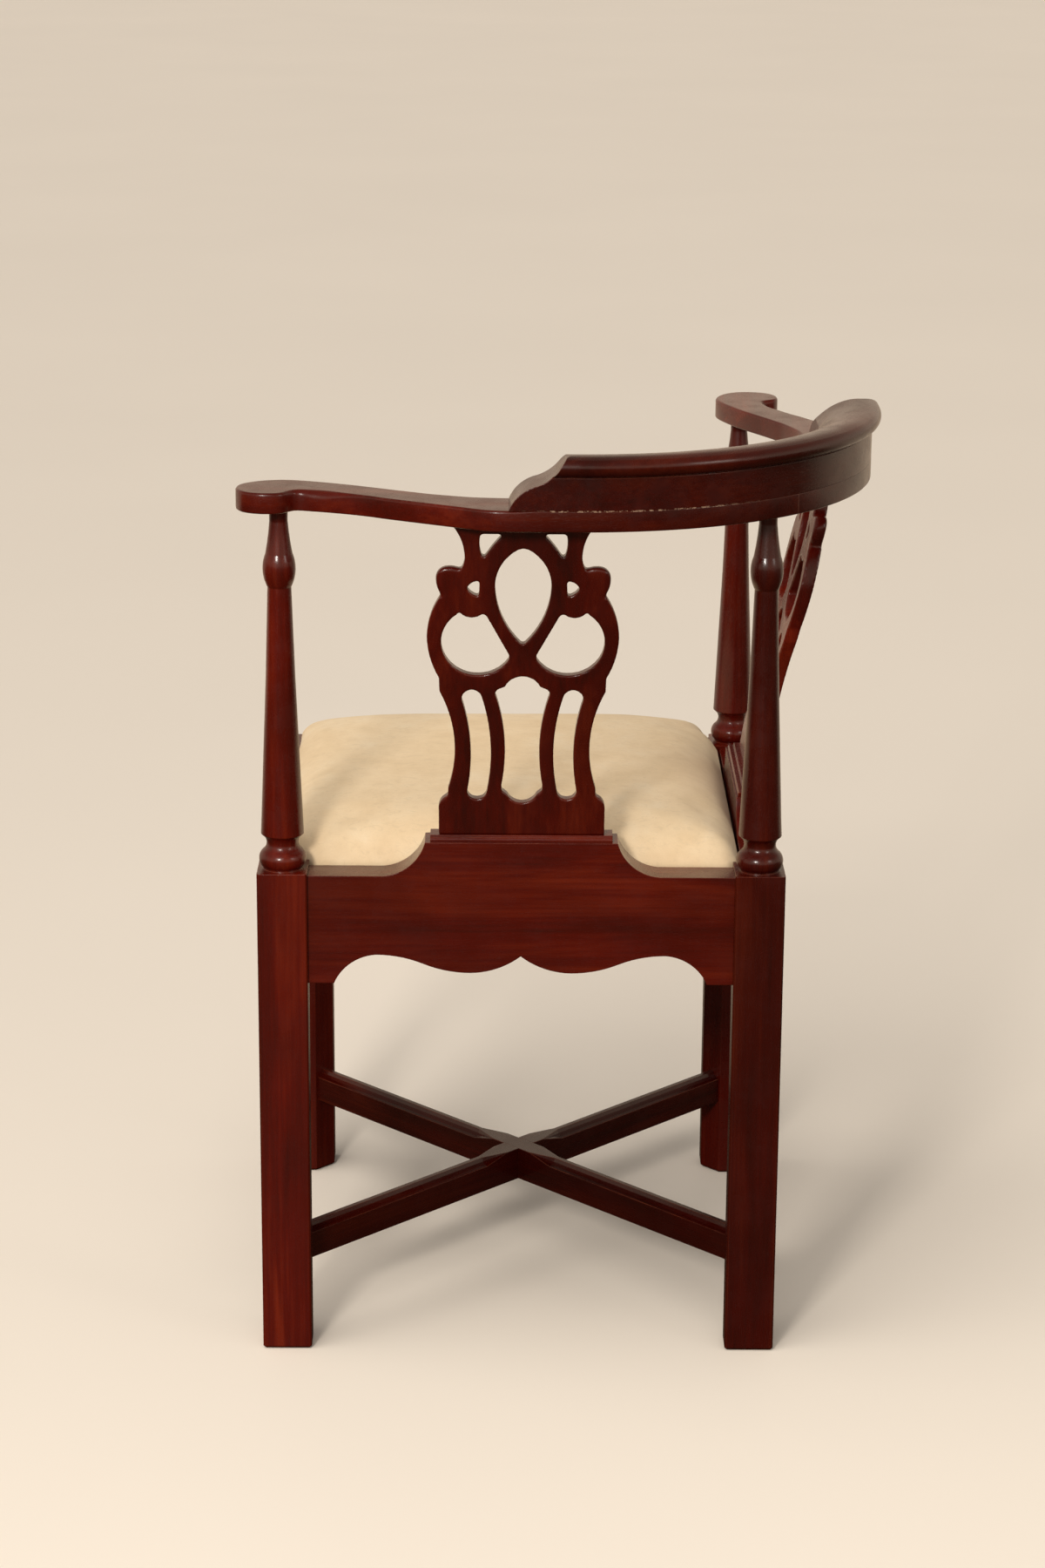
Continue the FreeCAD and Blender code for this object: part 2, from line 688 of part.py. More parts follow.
def ramp(sign):
    def at(x, z):
        return (run - part(x)) * sign, part(z)
    return [at(0, 0), Via(*at(6.2, 10.2)), at(20.5, 19.6), Via(*at(33, 25.8)), at(41.5, 36.2),
            at(46.3, 43.4), Via(*at(48, 44.2)), at(51.5, 44.5), at(51.5, 49.5),
            at(-5, 49.5), at(-5, 0)]


extrude(crest, "Pocket", sketch(crest, "XZ_Plane", [ramp(-1)]), nose * 3, both=True)
extrude(crest, "Pocket", sketch(crest, "YZ_Plane", [ramp(1)]), nose * 3, both=True)

# Diagonal stretchers, half-lapped where they cross
stretcher_end = axis * (2 * root_half) - (leg - size("leg_inner_flat")) * root_half
mid, tall_half = size("stretcher_mid"), size("stretcher_depth") / 2
wide_half = size("stretcher_width") / 2
cove, drop = size("stretcher_cove"), size("stretcher_cove_drop")
high = mid + tall_half


def hollow(side, across, down):
    # Waste above a cove along one upper edge of the bar
    edge, inner = wide_half * side, (wide_half - across) * side
    return [(inner, high), (inner + across * (side * 0.16), high - down * 0.51),
            (inner + across * (side * 0.49), high - down * 0.84), (edge, high - down),
            (edge + side, high - down), (edge + side, high + 1), (inner, high + 1)]


for label, turn, up in (("stretcher_left_right", 45, True), ("stretcher_front_rear", -45, False)):
    bar = new_body(label, turn)
    low, high = mid - tall_half, mid + tall_half
    outline = rectangle(-wide_half, low, wide_half, high)
    extrude(bar, "Pad", sketch(bar, "YZ_Plane", [outline]), stretcher_end * 2, both=True)
    for end in (1, -1):
        for side in (1, -1):
            # The cove runs out to nothing before the crossing, which stays square
            full, none = [(cove, drop), (size(0.1), size(0.1))]
            plain, run_out = size("stretcher_block"), size("stretcher_runout")
            cut = sketch(bar, "YZ_Plane", [hollow(side, *full)], (plain + run_out) * end)
            extrude(bar, "Pocket", cut, stretcher_end, back=end > 0)
            wide_end = sketch(bar, "YZ_Plane", [hollow(side, *full)], (plain + run_out) * end)
            slim_end = sketch(bar, "YZ_Plane", [hollow(side, *none)], plain * end)
            taper = bar.newObject("PartDesign::SubtractiveLoft", bar.Label + "_runout")
            taper.Profile, taper.Sections, taper.Ruled = wide_end, [slim_end], True
    wide = size("stretcher_tenon_thick") / 2
    tenon = size("stretcher_tenon_depth") / 2
    for end in (1, -1):
        ends = (stretcher_end * end, (stretcher_end + size("stretcher_tenon")) * end)
        near_end, far_end = (ends[0] - 1, ends[1]) if end > 0 else (ends[1], ends[0] + 1)
        box(bar, "Additive", (near_end, -wide, mid - tenon), (far_end, wide, mid + tenon))
    lap = wide_half + gap
    if up:
        box(bar, "Subtractive", (-lap, -wide_half - 1, mid), (lap, wide_half + 1, high + 1))
    else:
        box(bar, "Subtractive", (-lap, -wide_half - 1, low - 1), (lap, wide_half + 1, mid))

# Glue blocks in the four inner corners of the seat frame
block_high = ledge - size("corner_block_drop")
block_low = block_high - size("corner_block_depth")
reach = size("corner_block_reach")
block_plans = {
    "left_corner_block": [(-front_rail_in, -leg_in), (-leg_in + reach, -leg_in),
                          (-front_rail_in, -leg_in + reach)],
    "rear_corner_block": [(leg_in, -leg_in), (leg_in, -leg_in + reach), (leg_in - reach, -leg_in)],
    "right_corner_block": [(leg_in, front_rail_in), (leg_in - reach, front_rail_in),
                           (leg_in, leg_in - reach)],
    "front_corner_block": [(-leg_in, leg_in), (-leg_in, front_rail_in), (-leg_in + reach, front_rail_in),
                           (-front_rail_in, leg_in - reach), (-front_rail_in, leg_in)],
}
for label, plan in block_plans.items():
    block = new_body(label)
    extrude(block, "Pad", sketch(block, "XY_Plane", [plan], block_low), size("corner_block_depth"))

# Slip seat
seat_low = ledge + size("seat_rest_gap")
seat_rear = rear_lip - size("seat_gap")
seat_front = front_lip - size("seat_gap")
post_notch = leg_in - size("seat_gap")
skin = size("cover_thick")


half_plan = (seat_rear + seat_front) / 2
off_middle = (seat_rear - seat_front) / 2
crown_top = rail_top + size("cushion_crown")


def seat_plan(inset):
    # Rounded square about the seat's own middle
    edge = half_plan - inset
    turn = size("cushion_corner") - inset
    part = turn * (1 - root_half)
    plan = []
    for x, y in ((1, -1), (1, 1), (-1, 1), (-1, -1)):
        before, after = ((edge - turn) * x, edge * y), (edge * x, (edge - turn) * y)
        if x == y:
            before, after = after, before
        plan += [before, Via((edge - part) * x, (edge - part) * y), after]
    return plan


def notch_posts(body, inset, low, high):
    # Clears the three posts that rise beside the seat
    edge = post_notch - inset
    far = half
    box(body, "Subtractive", (-far, -far, low), (-edge - off_middle, -edge + off_middle, high))
    box(body, "Subtractive", (edge - off_middle, -far, low), (far, -edge + off_middle, high))
    box(body, "Subtractive", (edge - off_middle, edge + off_middle, low), (far, far, high))


def over_crown(inset):
    # Waste above the crown: edges roll over and draw in, then a shallow arch to the middle
    edge, top = half_plan - inset, crown_top - inset
    roll = size("cushion_roll") - inset
    shoulder = top - size("cushion_sag")
    part = roll * (1 - root_half)
    low = shoulder - roll
    return [
        (-edge, low), Via(part - edge, shoulder - part), (roll - edge, shoulder), Via(zero, top),
        (edge - roll, shoulder), Via(edge - part, shoulder - part), (edge, low), (edge + 5, low),
        (edge + 5, top + 5), (-edge - 5, top + 5), (-edge - 5, low),
    ]


def crowned(label, inset, low):
    body = new_body(label, 0, off_middle, -off_middle)
    top = crown_top - inset
    extrude(body, "Pad", sketch(body, "XY_Plane", [seat_plan(inset)], low), top + 1 - low)
    for plane in ("XZ_Plane", "YZ_Plane"):
        extrude(body, "Pocket", sketch(body, plane, [over_crown(inset)]), half_plan * 3, both=True)
    notch_posts(body, inset, low - 1, top + 1)
    return body


board_low = seat_low + skin
board_high = board_low + size("seat_board_thick")
board = new_body("seat_board", 0, off_middle, -off_middle)
extrude(board, "Pad", sketch(board, "XY_Plane", [seat_plan(skin)], board_low),
        size("seat_board_thick"))
notch_posts(board, skin, board_low - 1, board_high + 1)

foam = crowned("seat_foam", skin, board_high)

# The cover wraps the foam and board and turns in under the board
cover_form = crowned("seat_cover_form", zero, seat_low)
window = half_plan - size("cover_turn_in")
box(cover_form, "Subtractive", (-window, -window, seat_low - 1), (window, window, board_low))
filling = doc.addObject("Part::MultiFuse", "seat_filling")
filling.Shapes = [board, foam]
cover = doc.addObject("Part::Cut", "seat_cover")
cover.Base, cover.Tool = cover_form, filling
pieces[pieces.index(cover_form)] = cover

dust_cover = new_body("seat_dust_cover", 0, off_middle, -off_middle)
dust_edge = leg_in - size("seat_gap") + off_middle
dust_plan = sketch(dust_cover, "XY_Plane", [rectangle(-dust_edge, -dust_edge, dust_edge, dust_edge)],
                   seat_low - size("dust_cover_thick"))
extrude(dust_cover, "Pad", dust_plan, size("dust_cover_thick"))

doc.recompute()
os.makedirs("parts", exist_ok=True)
for item in doc.Objects:
    if "Invalid" in item.State or "Error" in item.State:
        raise RuntimeError(item.Name + " failed")
for piece in pieces:
    shape = piece.Shape
    if shape.isNull() or not shape.isValid() or len(shape.Solids) != 1:
        raise RuntimeError(piece.Label + " is not one sound solid")
for piece in pieces:
    piece.Shape.exportStep(f"parts/{piece.Label}.step")
    print(piece.Label, round(piece.Shape.Volume / 1000, 1), "cm3")
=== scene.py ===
import math
import bmesh
import bpy
import numpy as np
from mathutils import Matrix, Vector


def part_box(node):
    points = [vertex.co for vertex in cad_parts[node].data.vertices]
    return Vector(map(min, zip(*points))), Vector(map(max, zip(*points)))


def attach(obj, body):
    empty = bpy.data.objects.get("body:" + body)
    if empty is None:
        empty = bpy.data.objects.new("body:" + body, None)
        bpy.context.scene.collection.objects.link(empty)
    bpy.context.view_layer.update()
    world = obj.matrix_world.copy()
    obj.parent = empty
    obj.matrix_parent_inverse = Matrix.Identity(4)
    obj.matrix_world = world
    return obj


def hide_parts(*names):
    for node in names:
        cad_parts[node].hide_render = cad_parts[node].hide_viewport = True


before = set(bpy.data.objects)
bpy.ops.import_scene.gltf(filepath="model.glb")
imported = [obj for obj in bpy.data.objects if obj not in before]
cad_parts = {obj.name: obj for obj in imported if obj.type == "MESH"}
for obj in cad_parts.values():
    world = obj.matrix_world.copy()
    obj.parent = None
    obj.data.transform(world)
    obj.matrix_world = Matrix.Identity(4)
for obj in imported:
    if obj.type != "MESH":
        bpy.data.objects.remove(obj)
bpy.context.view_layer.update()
print("frame loaded:", len(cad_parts), "nodes")


# Helpers for shader trees

def startMaterial(name):
    material = bpy.data.materials.new(name)
    material.use_nodes = True
    tree = material.node_tree
    tree.nodes.clear()
    output = tree.nodes.new("ShaderNodeOutputMaterial")
    shader = tree.nodes.new("ShaderNodeBsdfPrincipled")
    tree.links.new(shader.outputs["BSDF"], output.inputs["Surface"])
    return material, tree, shader


def addNode(tree, kind, settings=None, **inputs):
    # an input goes by its label, with _ for a space, or by i and its number
    node = tree.nodes.new(kind)
    for key, value in (settings or {}).items():
        setattr(node, key, value)
    for key, value in inputs.items():
        numbered = key[0] == "i" and key[1:].isdigit()
        socket = node.inputs[int(key[1:]) if numbered else key.replace("_", " ")]
        if isinstance(value, bpy.types.NodeSocket):
            tree.links.new(value, socket)
        else:
            socket.default_value = value
    return node


def objectPlace(tree):
    return addNode(tree, "ShaderNodeTexCoord").outputs["Object"]


def axisOf(tree, vector, axis):
    return addNode(tree, "ShaderNodeSeparateXYZ", None, Vector=vector).outputs[axis]


def noiseOn(tree, place, stretch, detail=3.0, roughness=0.55, distortion=0.0):
    # stretch is in cycles a metre, so a small number along the grain makes streaks
    scaled = addNode(tree, "ShaderNodeMapping", None, Vector=place, Scale=stretch).outputs[0]
    noise = addNode(tree, "ShaderNodeTexNoise", {"noise_dimensions": "3D"}, Vector=scaled, Scale=1.0,
                    Detail=detail, Roughness=roughness, Distortion=distortion)
    return noise.outputs[0]


def rangeOf(tree, value, low, high, newLow=0.0, newHigh=1.0):
    node = addNode(tree, "ShaderNodeMapRange", None, i0=value, i1=low, i2=high, i3=newLow, i4=newHigh)
    return node.outputs[0]


def mathOf(tree, operation, first, second=0.0):
    return addNode(tree, "ShaderNodeMath", {"operation": operation}, i0=first, i1=second).outputs[0]


def product(tree, first, second):
    return mathOf(tree, "MULTIPLY", first, second)


def sharesOf(tree, first, firstShare, second, secondShare):
    return mathOf(tree, "ADD", product(tree, first, firstShare), product(tree, second, secondShare))


def dotOf(tree, first, second):
    node = addNode(tree, "ShaderNodeVectorMath", {"operation": "DOT_PRODUCT"}, i0=first, i1=second)
    return node.outputs["Value"]


def shaded(colour, shade):
    return tuple(part * shade for part in colour)


def opaque(colour, shade=1.0):
    return (*shaded(colour, shade), 1.0)


def blendColours(tree, amount, first, second):
    node = addNode(tree, "ShaderNodeMix", {"data_type": "RGBA"}, i0=amount, i6=first, i7=second)
    return node.outputs[2]


def colourRamp(tree, value, places, colours):
    ramp = addNode(tree, "ShaderNodeValToRGB", None, i0=value)
    elements = ramp.color_ramp.elements
    while len(elements) < len(places):
        elements.new(0.5)
    for element, place, colour in zip(elements, places, colours):
        element.position = place
        element.color = opaque(colour)
    return ramp.outputs[0]


def addRelief(tree, shader, height, strength, depth, **normal):
    bump = addNode(tree, "ShaderNodeBump", None, Strength=strength, Distance=depth, Height=height, **normal)
    tree.links.new(bump.outputs[0], shader.inputs["Normal"])


# Mahogany, stained, filled and lacquered. Colours are linear and lengths in metres. A noise is its cycles a
# metre along and across the grain, then detail, roughness and distortion. A name ending in At is the range
# of a value that the finish picks out, with the strengths at its two ends where they aren't 0 and 1, and
# rampAt is where the colours of a ramp stand.
mahogany = {
    "dark": (0.044, 0.0022, 0.0005),
    "middle": (0.103, 0.0038, 0.0006),
    "light": (0.205, 0.0180, 0.0036),
    "rampAt": (0.30, 0.50, 0.74),
    "pore": (0.016, 0.003, 0.002),
    "rubbed": (0.260, 0.0500, 0.0150),  # where the stain has rubbed thin on an edge
    "bareSpeck": (0.55, 0.36, 0.24),  # old glue and bare wood at a joint
    "shifts": (0.73, 0.41, 1.37),
    "figure": ((3.2, 30.0, 30.0), 3.0, 0.6, 0.9), "figureShare": 0.68,
    "streaks": ((9.0, 330.0, 330.0), 4.0, 0.6), "streakShare": 0.32, "streakHeight": 0.5,
    "cloud": ((6.0, 10.0, 10.0), 2.0, 0.5, 0.6), "cloudAt": (0.38, 0.62, 0.0, 0.45),
    "pores": ((160.0, 3000.0, 3000.0), 1.0, 0.5), "poresAt": (0.58, 0.72),
    "poreDepth": 0.16, "poreRoughness": 0.12,
    "wear": ((26.0, 60.0, 60.0), 3.0), "wearAt": (0.40, 0.66, 0.15, 0.75), "rimAt": (0.985, 0.80),
    "polish": ((45.0, 45.0, 45.0), 4.0, 0.6), "polishAt": (0.35, 0.65, 0.20, 0.31),
    # the range of x - y over which the arms take their painted shade
    "paintedShadeAt": (0.13, 0.26, 0.0, 0.5),
    "glueLine": 0.7724, "glueAt": (0.0007, 0.0003), "uprightAt": (0.75, 0.5), "fadeAt": (0.17, 0.10),
    "specks": ((210.0, 210.0, 300.0), 3.0, 0.7), "specksAt": (0.50, 0.56),
    "stretches": ((9.0, 9.0, 9.0), 1.0), "stretchesAt": (0.34, 0.46),
    "reliefStrength": 0.10, "reliefDepth": 0.0003, "edge": 0.0011, "edgeSamples": 6,
    "coat": 0.22, "coatRoughness": 0.11, "ior": 1.5, "specular": 0.42,
}
grainTurns = {
    "x": (0.0, 0.0, 0.0),
    "y": (0.0, 0.0, -math.pi / 2),
    "z": (0.0, math.pi / 2, 0.0),
    "cross": (0.0, 0.0, -math.pi / 4),
    "counter": (0.0, 0.0, math.pi / 4),
}
# the grain's direction, the shift of its pattern, and a factor on the stain's colours that is partly the
# stain's depth of tone and partly painted shade, lower on pieces that stand in shade or away from the key
# lamp
woodPieces = {
    "left_post": ("z", 1.1, 1.0),
    "rear_post": ("z", 2.3, 0.52),
    "right_post": ("z", 3.7, 0.95),
    "front_leg": ("z", 4.9, 0.80),
    "rear_left_rail": ("x", 5.3, 0.84),
    "rear_right_rail": ("y", 6.1, 0.86),
    "front_left_rail": ("y", 7.7, 0.90),
    "front_right_rail": ("x", 8.3, 0.84),
    "rear_left_shoe": ("x", 9.1, 0.90),
    "rear_right_shoe": ("y", 10.7, 0.90),
    "rear_left_splat": ("z", 11.9, 0.74),
    "rear_right_splat": ("z", 12.1, 1.10),
    "left_arm": ("x", 13.3, 0.95),
    "right_arm": ("y", 14.9, 0.90),
    "crest_rail": ("cross", 15.7, 0.42),
    "stretcher_left_right": ("cross", 16.1, 0.34),
    "stretcher_front_rear": ("counter", 17.9, 0.34),
}


def grainOf(tree, place, along, shift, shifts):
    node = addNode(tree, "ShaderNodeMapping", None, Vector=place, Rotation=grainTurns[along],
                   Location=shaded(shifts, shift))
    return node.outputs[0]


def glueSpecks(tree, c, colour, place, facing):
    # a narrow band of height on the upright faces, times two patchy noises, and fading out toward +X
    away = mathOf(tree, "ABSOLUTE", mathOf(tree, "SUBTRACT", axisOf(tree, place, 2), c["glueLine"]))
    upright = mathOf(tree, "ABSOLUTE", axisOf(tree, facing, 2))
    band = product(tree, rangeOf(tree, away, *c["glueAt"]), rangeOf(tree, upright, *c["uprightAt"]))
    specks = rangeOf(tree, noiseOn(tree, place, *c["specks"]), *c["specksAt"])
    stretches = rangeOf(tree, noiseOn(tree, place, *c["stretches"]), *c["stretchesAt"])
    fade = rangeOf(tree, axisOf(tree, place, 0), *c["fadeAt"])
    amount = product(tree, product(tree, band, specks), product(tree, stretches, fade))
    return blendColours(tree, amount, colour, opaque(c["bareSpeck"]))


def mahoganyFinish(name, c, along, shift, stainAndShade, isArm, glued):
    # figure, streaks and pores are noises about 33 mm, 3 mm and 0.3 mm across the grain
    material, tree, shader = startMaterial(name)
    place = objectPlace(tree)
    grain = grainOf(tree, place, along, shift, c["shifts"])
    figure = noiseOn(tree, grain, *c["figure"])
    streaks = noiseOn(tree, grain, *c["streaks"])
    mixed = sharesOf(tree, figure, c["figureShare"], streaks, c["streakShare"])
    # the colours are scaled by the piece's factor, partly the stain's tone and partly painted shade
    tones = [shaded(c[key], stainAndShade) for key in ("dark", "middle", "light")]
    colour = colourRamp(tree, mixed, c["rampAt"], tones)
    cloud = rangeOf(tree, noiseOn(tree, grain, *c["cloud"]), *c["cloudAt"])
    colour = blendColours(tree, cloud, colour, opaque(c["dark"], stainAndShade))
    if isArm:
        # painted shade: the arms are darkened toward the rear corner, beneath the crest, where x - y is
        # largest
        toRear = dotOf(tree, place, (1.0, -1.0, 0.0))
        colour = blendColours(tree, rangeOf(tree, toRear, *c["paintedShadeAt"]), colour, (0.0, 0.0, 0.0, 1.0))
    pores = rangeOf(tree, noiseOn(tree, grain, *c["pores"]), *c["poresAt"])
    colour = blendColours(tree, product(tree, pores, c["poreDepth"]), colour, opaque(c["pore"]))
    eased = addNode(tree, "ShaderNodeBevel", {"samples": c["edgeSamples"]}, Radius=c["edge"]).outputs[0]
    flat = addNode(tree, "ShaderNodeNewGeometry").outputs["True Normal"]
    rim = rangeOf(tree, dotOf(tree, eased, flat), *c["rimAt"])
    wear = rangeOf(tree, noiseOn(tree, grain, *c["wear"]), *c["wearAt"])
    colour = blendColours(tree, product(tree, rim, wear), colour, opaque(c["rubbed"]))
    if glued:
        colour = glueSpecks(tree, c, colour, place, flat)
    tree.links.new(colour, shader.inputs["Base Color"])
    polish = rangeOf(tree, noiseOn(tree, place, *c["polish"]), *c["polishAt"])
    roughness = mathOf(tree, "ADD", polish, product(tree, pores, c["poreRoughness"]))
    tree.links.new(roughness, shader.inputs["Roughness"])
    relief = mathOf(tree, "SUBTRACT", product(tree, streaks, c["streakHeight"]), pores)
    addRelief(tree, shader, relief, c["reliefStrength"], c["reliefDepth"], Normal=eased)
    shader.inputs["Coat Weight"].default_value = c["coat"]
    shader.inputs["Coat Roughness"].default_value = c["coatRoughness"]
    shader.inputs["IOR"].default_value = c["ior"]
    shader.inputs["Specular IOR Level"].default_value = c["specular"]
    return material


def dress(nodeName, material):
    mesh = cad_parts[nodeName].data
    mesh.materials.clear()
    mesh.materials.append(material)


finishes = {}
for piece, (along, shift, stainAndShade) in woodPieces.items():
    isArm = piece in ("left_arm", "right_arm")
    finishes[piece] = mahoganyFinish("mahogany_" + piece, mahogany, along, shift, stainAndShade, isArm,
                                     isArm or piece == "crest_rail")
    dress(piece, finishes[piece])
print("mahogany on", len(woodPieces), "pieces")


# Bare secondary wood for the glue blocks and the seat board, as mahogany is written
bare = {
    "shifts": (1.0, 0.6, 1.9),
    "fibre": ((30.0, 1200.0, 1200.0), 3.0, 0.6), "fibreAt": (0.4, 0.7, 0.0, 0.35), "fibreShade": 0.6,
    "rampAt": (0.34, 0.66), "roughnessAt": (0.3, 0.7, 0.62, 0.82),
    "reliefStrength": 0.25, "reliefDepth": 0.0004,
}
blockWood = {"pale": (0.50, 0.33, 0.17), "brown": (0.33, 0.19, 0.085),
             "rings": ((3.0, 90.0, 90.0), 3.0, 0.5, 0.8)}
seatPly = {"pale": (0.56, 0.40, 0.22), "brown": (0.40, 0.26, 0.13),
           "rings": ((3.0, 55.0, 55.0), 3.0, 0.5, 0.8)}


def bareWood(name, c, wood, along, shift):
    # growth rings are a noise stretched along the grain, with a finer fibre noise over it
    material, tree, shader = startMaterial(name)
    grain = grainOf(tree, objectPlace(tree), along, shift, c["shifts"])
    rings = noiseOn(tree, grain, *wood["rings"])
    fibre = noiseOn(tree, grain, *c["fibre"])
    colour = colourRamp(tree, rings, c["rampAt"], (wood["brown"], wood["pale"]))
    dark = opaque(wood["brown"], c["fibreShade"])
    colour = blendColours(tree, rangeOf(tree, fibre, *c["fibreAt"]), colour, dark)
    tree.links.new(colour, shader.inputs["Base Color"])
    tree.links.new(rangeOf(tree, fibre, *c["roughnessAt"]), shader.inputs["Roughness"])
    addRelief(tree, shader, fibre, c["reliefStrength"], c["reliefDepth"])
    return material


blocks = (("left_corner_block", "counter"), ("rear_corner_block", "cross"),
          ("right_corner_block", "counter"), ("front_corner_block", "cross"))
for number, (piece, along) in enumerate(blocks, 1):
    dress(piece, bareWood("block_wood_" + piece, bare, blockWood, along, float(number)))
dress("seat_board", bareWood("seat_ply", bare, seatPly, "x", 5.0))


# Shapes from arrays

def addObject(name, data):
    piece = bpy.data.objects.new(name, data)
    bpy.context.scene.collection.objects.link(piece)
    return piece


def smoothPiece(name, points, faces):
    mesh = bpy.data.meshes.new(name)
    mesh.from_pydata(points.tolist(), [], faces)
    mesh.update()
    mesh.shade_smooth()
    return addObject(name, mesh)


def meshFromGrid(name, rows, closeRound=True, capStart=None, capEnd=None):
    # rows is an array (rows, points round, 3). Neighbours are joined by quads, and a cap point closes each
    # end with a fan.
    rowCount, roundCount = rows.shape[:2]
    index = np.arange(rowCount * roundCount).reshape(rowCount, roundCount)
    step = np.roll(index, -1, 1) if closeRound else index[:, 1:]
    base = index if closeRound else index[:, :-1]
    points = rows.reshape(-1, 3)
    faces = np.stack([base[:-1], step[:-1], step[1:], base[1:]], -1).reshape(-1, 4).tolist()
    for cap, first, second in ((capStart, step[0], base[0]), (capEnd, base[-1], step[-1])):
        if cap is not None:
            points = np.vstack([points, cap])
            faces += np.stack([first, second, np.full(len(first), len(points) - 1)], -1).tolist()
    return smoothPiece(name, points, faces)


def roundedOutline(corners, radii, perCorner):
    # each corner becomes an arc that touches both its sides, before and after being their directions:
    # middle - radius x (after x cos(angle) + before x sin(angle))
    corners = np.array(corners, float)
    radii = np.array(radii, float)[:, None, None]
    before = np.roll(corners, 1, 0) - corners
    after = np.roll(corners, -1, 0) - corners
    before /= np.linalg.norm(before, axis=1, keepdims=True)
    after /= np.linalg.norm(after, axis=1, keepdims=True)
    angle = np.linspace(0, math.pi / 2, perCorner)[None, :, None]
    middle = corners[:, None] + radii * (before + after)[:, None]
    arcs = middle - radii * (after[:, None] * np.cos(angle) + before[:, None] * np.sin(angle))
    return arcs.reshape(-1, 2)


def evenPoints(line, count, endpoint=True):
    # the same line with points at equal distances along it
    run = np.concatenate([[0], np.cumsum(np.linalg.norm(np.diff(line, axis=0), axis=1))])
    at = np.linspace(0, run[-1], count, endpoint=endpoint)
    return np.stack([np.interp(at, run, line[:, 0]), np.interp(at, run, line[:, 1])], 1)


def smoothLine(points, count, perSpan=16):
    # a Catmull-Rom line through the points, each span a cubic of its four neighbouring points
    p = np.array(points, float)
    p = np.vstack([2 * p[0] - p[1], p, 2 * p[-1] - p[-2]])
    a, b, c, d = (part[:, None] for part in (p[:-3], p[1:-2], p[2:-1], p[3:]))
    t = np.linspace(0, 1, perSpan, endpoint=False)[None, :, None]
    line = 0.5 * (2 * b + (c - a) * t + (2 * a - 5 * b + 4 * c - d) * t ** 2
                  + (3 * b - a - 3 * c + d) * t ** 3)
    return evenPoints(np.vstack([line.reshape(-1, 2), p[-2]]), count)


def applyModifiers(piece):
    graph = bpy.context.evaluated_depsgraph_get()
    finished = bpy.data.meshes.new_from_object(piece.evaluated_get(graph))
    piece.modifiers.clear()
    old = piece.data
    piece.data = finished
    bpy.data.meshes.remove(old)
    finished.name = piece.name


def positionsOf(mesh):
    flat = np.empty(len(mesh.vertices) * 3)
    mesh.vertices.foreach_get("co", flat)
    return flat.reshape(-1, 3)


def evenCells(piece, cell):
    even = piece.modifiers.new("even", "REMESH")
    even.mode, even.voxel_size = "VOXEL", cell
    applyModifiers(piece)


def markPoints(piece, name, chosen):
    piece.vertex_groups.new(name=name).add(np.flatnonzero(chosen).tolist(), 1.0, "REPLACE")


def addAveraging(piece, name, steps, group="", outside=False):
    smooth = piece.modifiers.new(name, "SMOOTH")
    smooth.factor, smooth.iterations = 0.5, steps
    smooth.vertex_group, smooth.invert_vertex_group = group, outside


# The arms: eased edges, a lobed hand, and a sweep in the edge at its neck. Points are from the middle of the
# post under the hand, or from the middle of the arm's curve.
arms = {
    "low": 0.7550, "high": 0.7724, "postOffset": 0.20365, "curveCentre": 0.0442,
    "outerRadius": 0.2580, "innerRadius": 0.2073,
    "outerEdge": [
        (0.0, -0.2580), (-0.030, -0.2580), (-0.060, -0.2580), (-0.0745, -0.2553), (-0.0875, -0.2488),
    ],
    "outerHand": [
        (0.0962, -0.0549), (0.0780, -0.0440), (0.0610, -0.0356), (0.0420, -0.0282), (0.0290, -0.0242),
        (0.0205, -0.0214), (0.0150, -0.0218), (0.0106, -0.0262), (0.0062, -0.0318), (0.0, -0.0350),
        (-0.0072, -0.0358), (-0.0150, -0.0350), (-0.0225, -0.0320), (-0.0290, -0.0265), (-0.0333, -0.0180),
        (-0.0347, -0.0090),
    ],
    "innerEdge": [(0.0, -0.2073), (-0.030, -0.2068), (-0.060, -0.2050), (-0.086, -0.2021)],
    "innerHand": [
        (0.1312, -0.0325), (0.1130, -0.0238), (0.0949, -0.0145), (0.0780, -0.0052), (0.0610, 0.0036),
        (0.0450, 0.0108), (0.0290, 0.0170), (0.0180, 0.0205), (0.0080, 0.0225), (-0.0010, 0.0225),
        (-0.0110, 0.0203), (-0.0205, 0.0158), (-0.0285, 0.0090), (-0.0335, 0.0005), (-0.0347, -0.0090),
    ],
    "edge": 0.0021, "underEdge": 0.0014, "underCrest": 0.0005, "crestReach": 0.030, "crestFade": 0.022,
    "rim": 0.0009, "sweep": 0.0042, "sweepAt": (0.036, -0.024), "sweepLength": 0.022,
    "stations": 300, "arcSteps": 24, "roundSteps": 6, "faceSteps": 7,
    "weld": 1e-6, "sliver": 1e-7, "sharpAbove": 50,
}


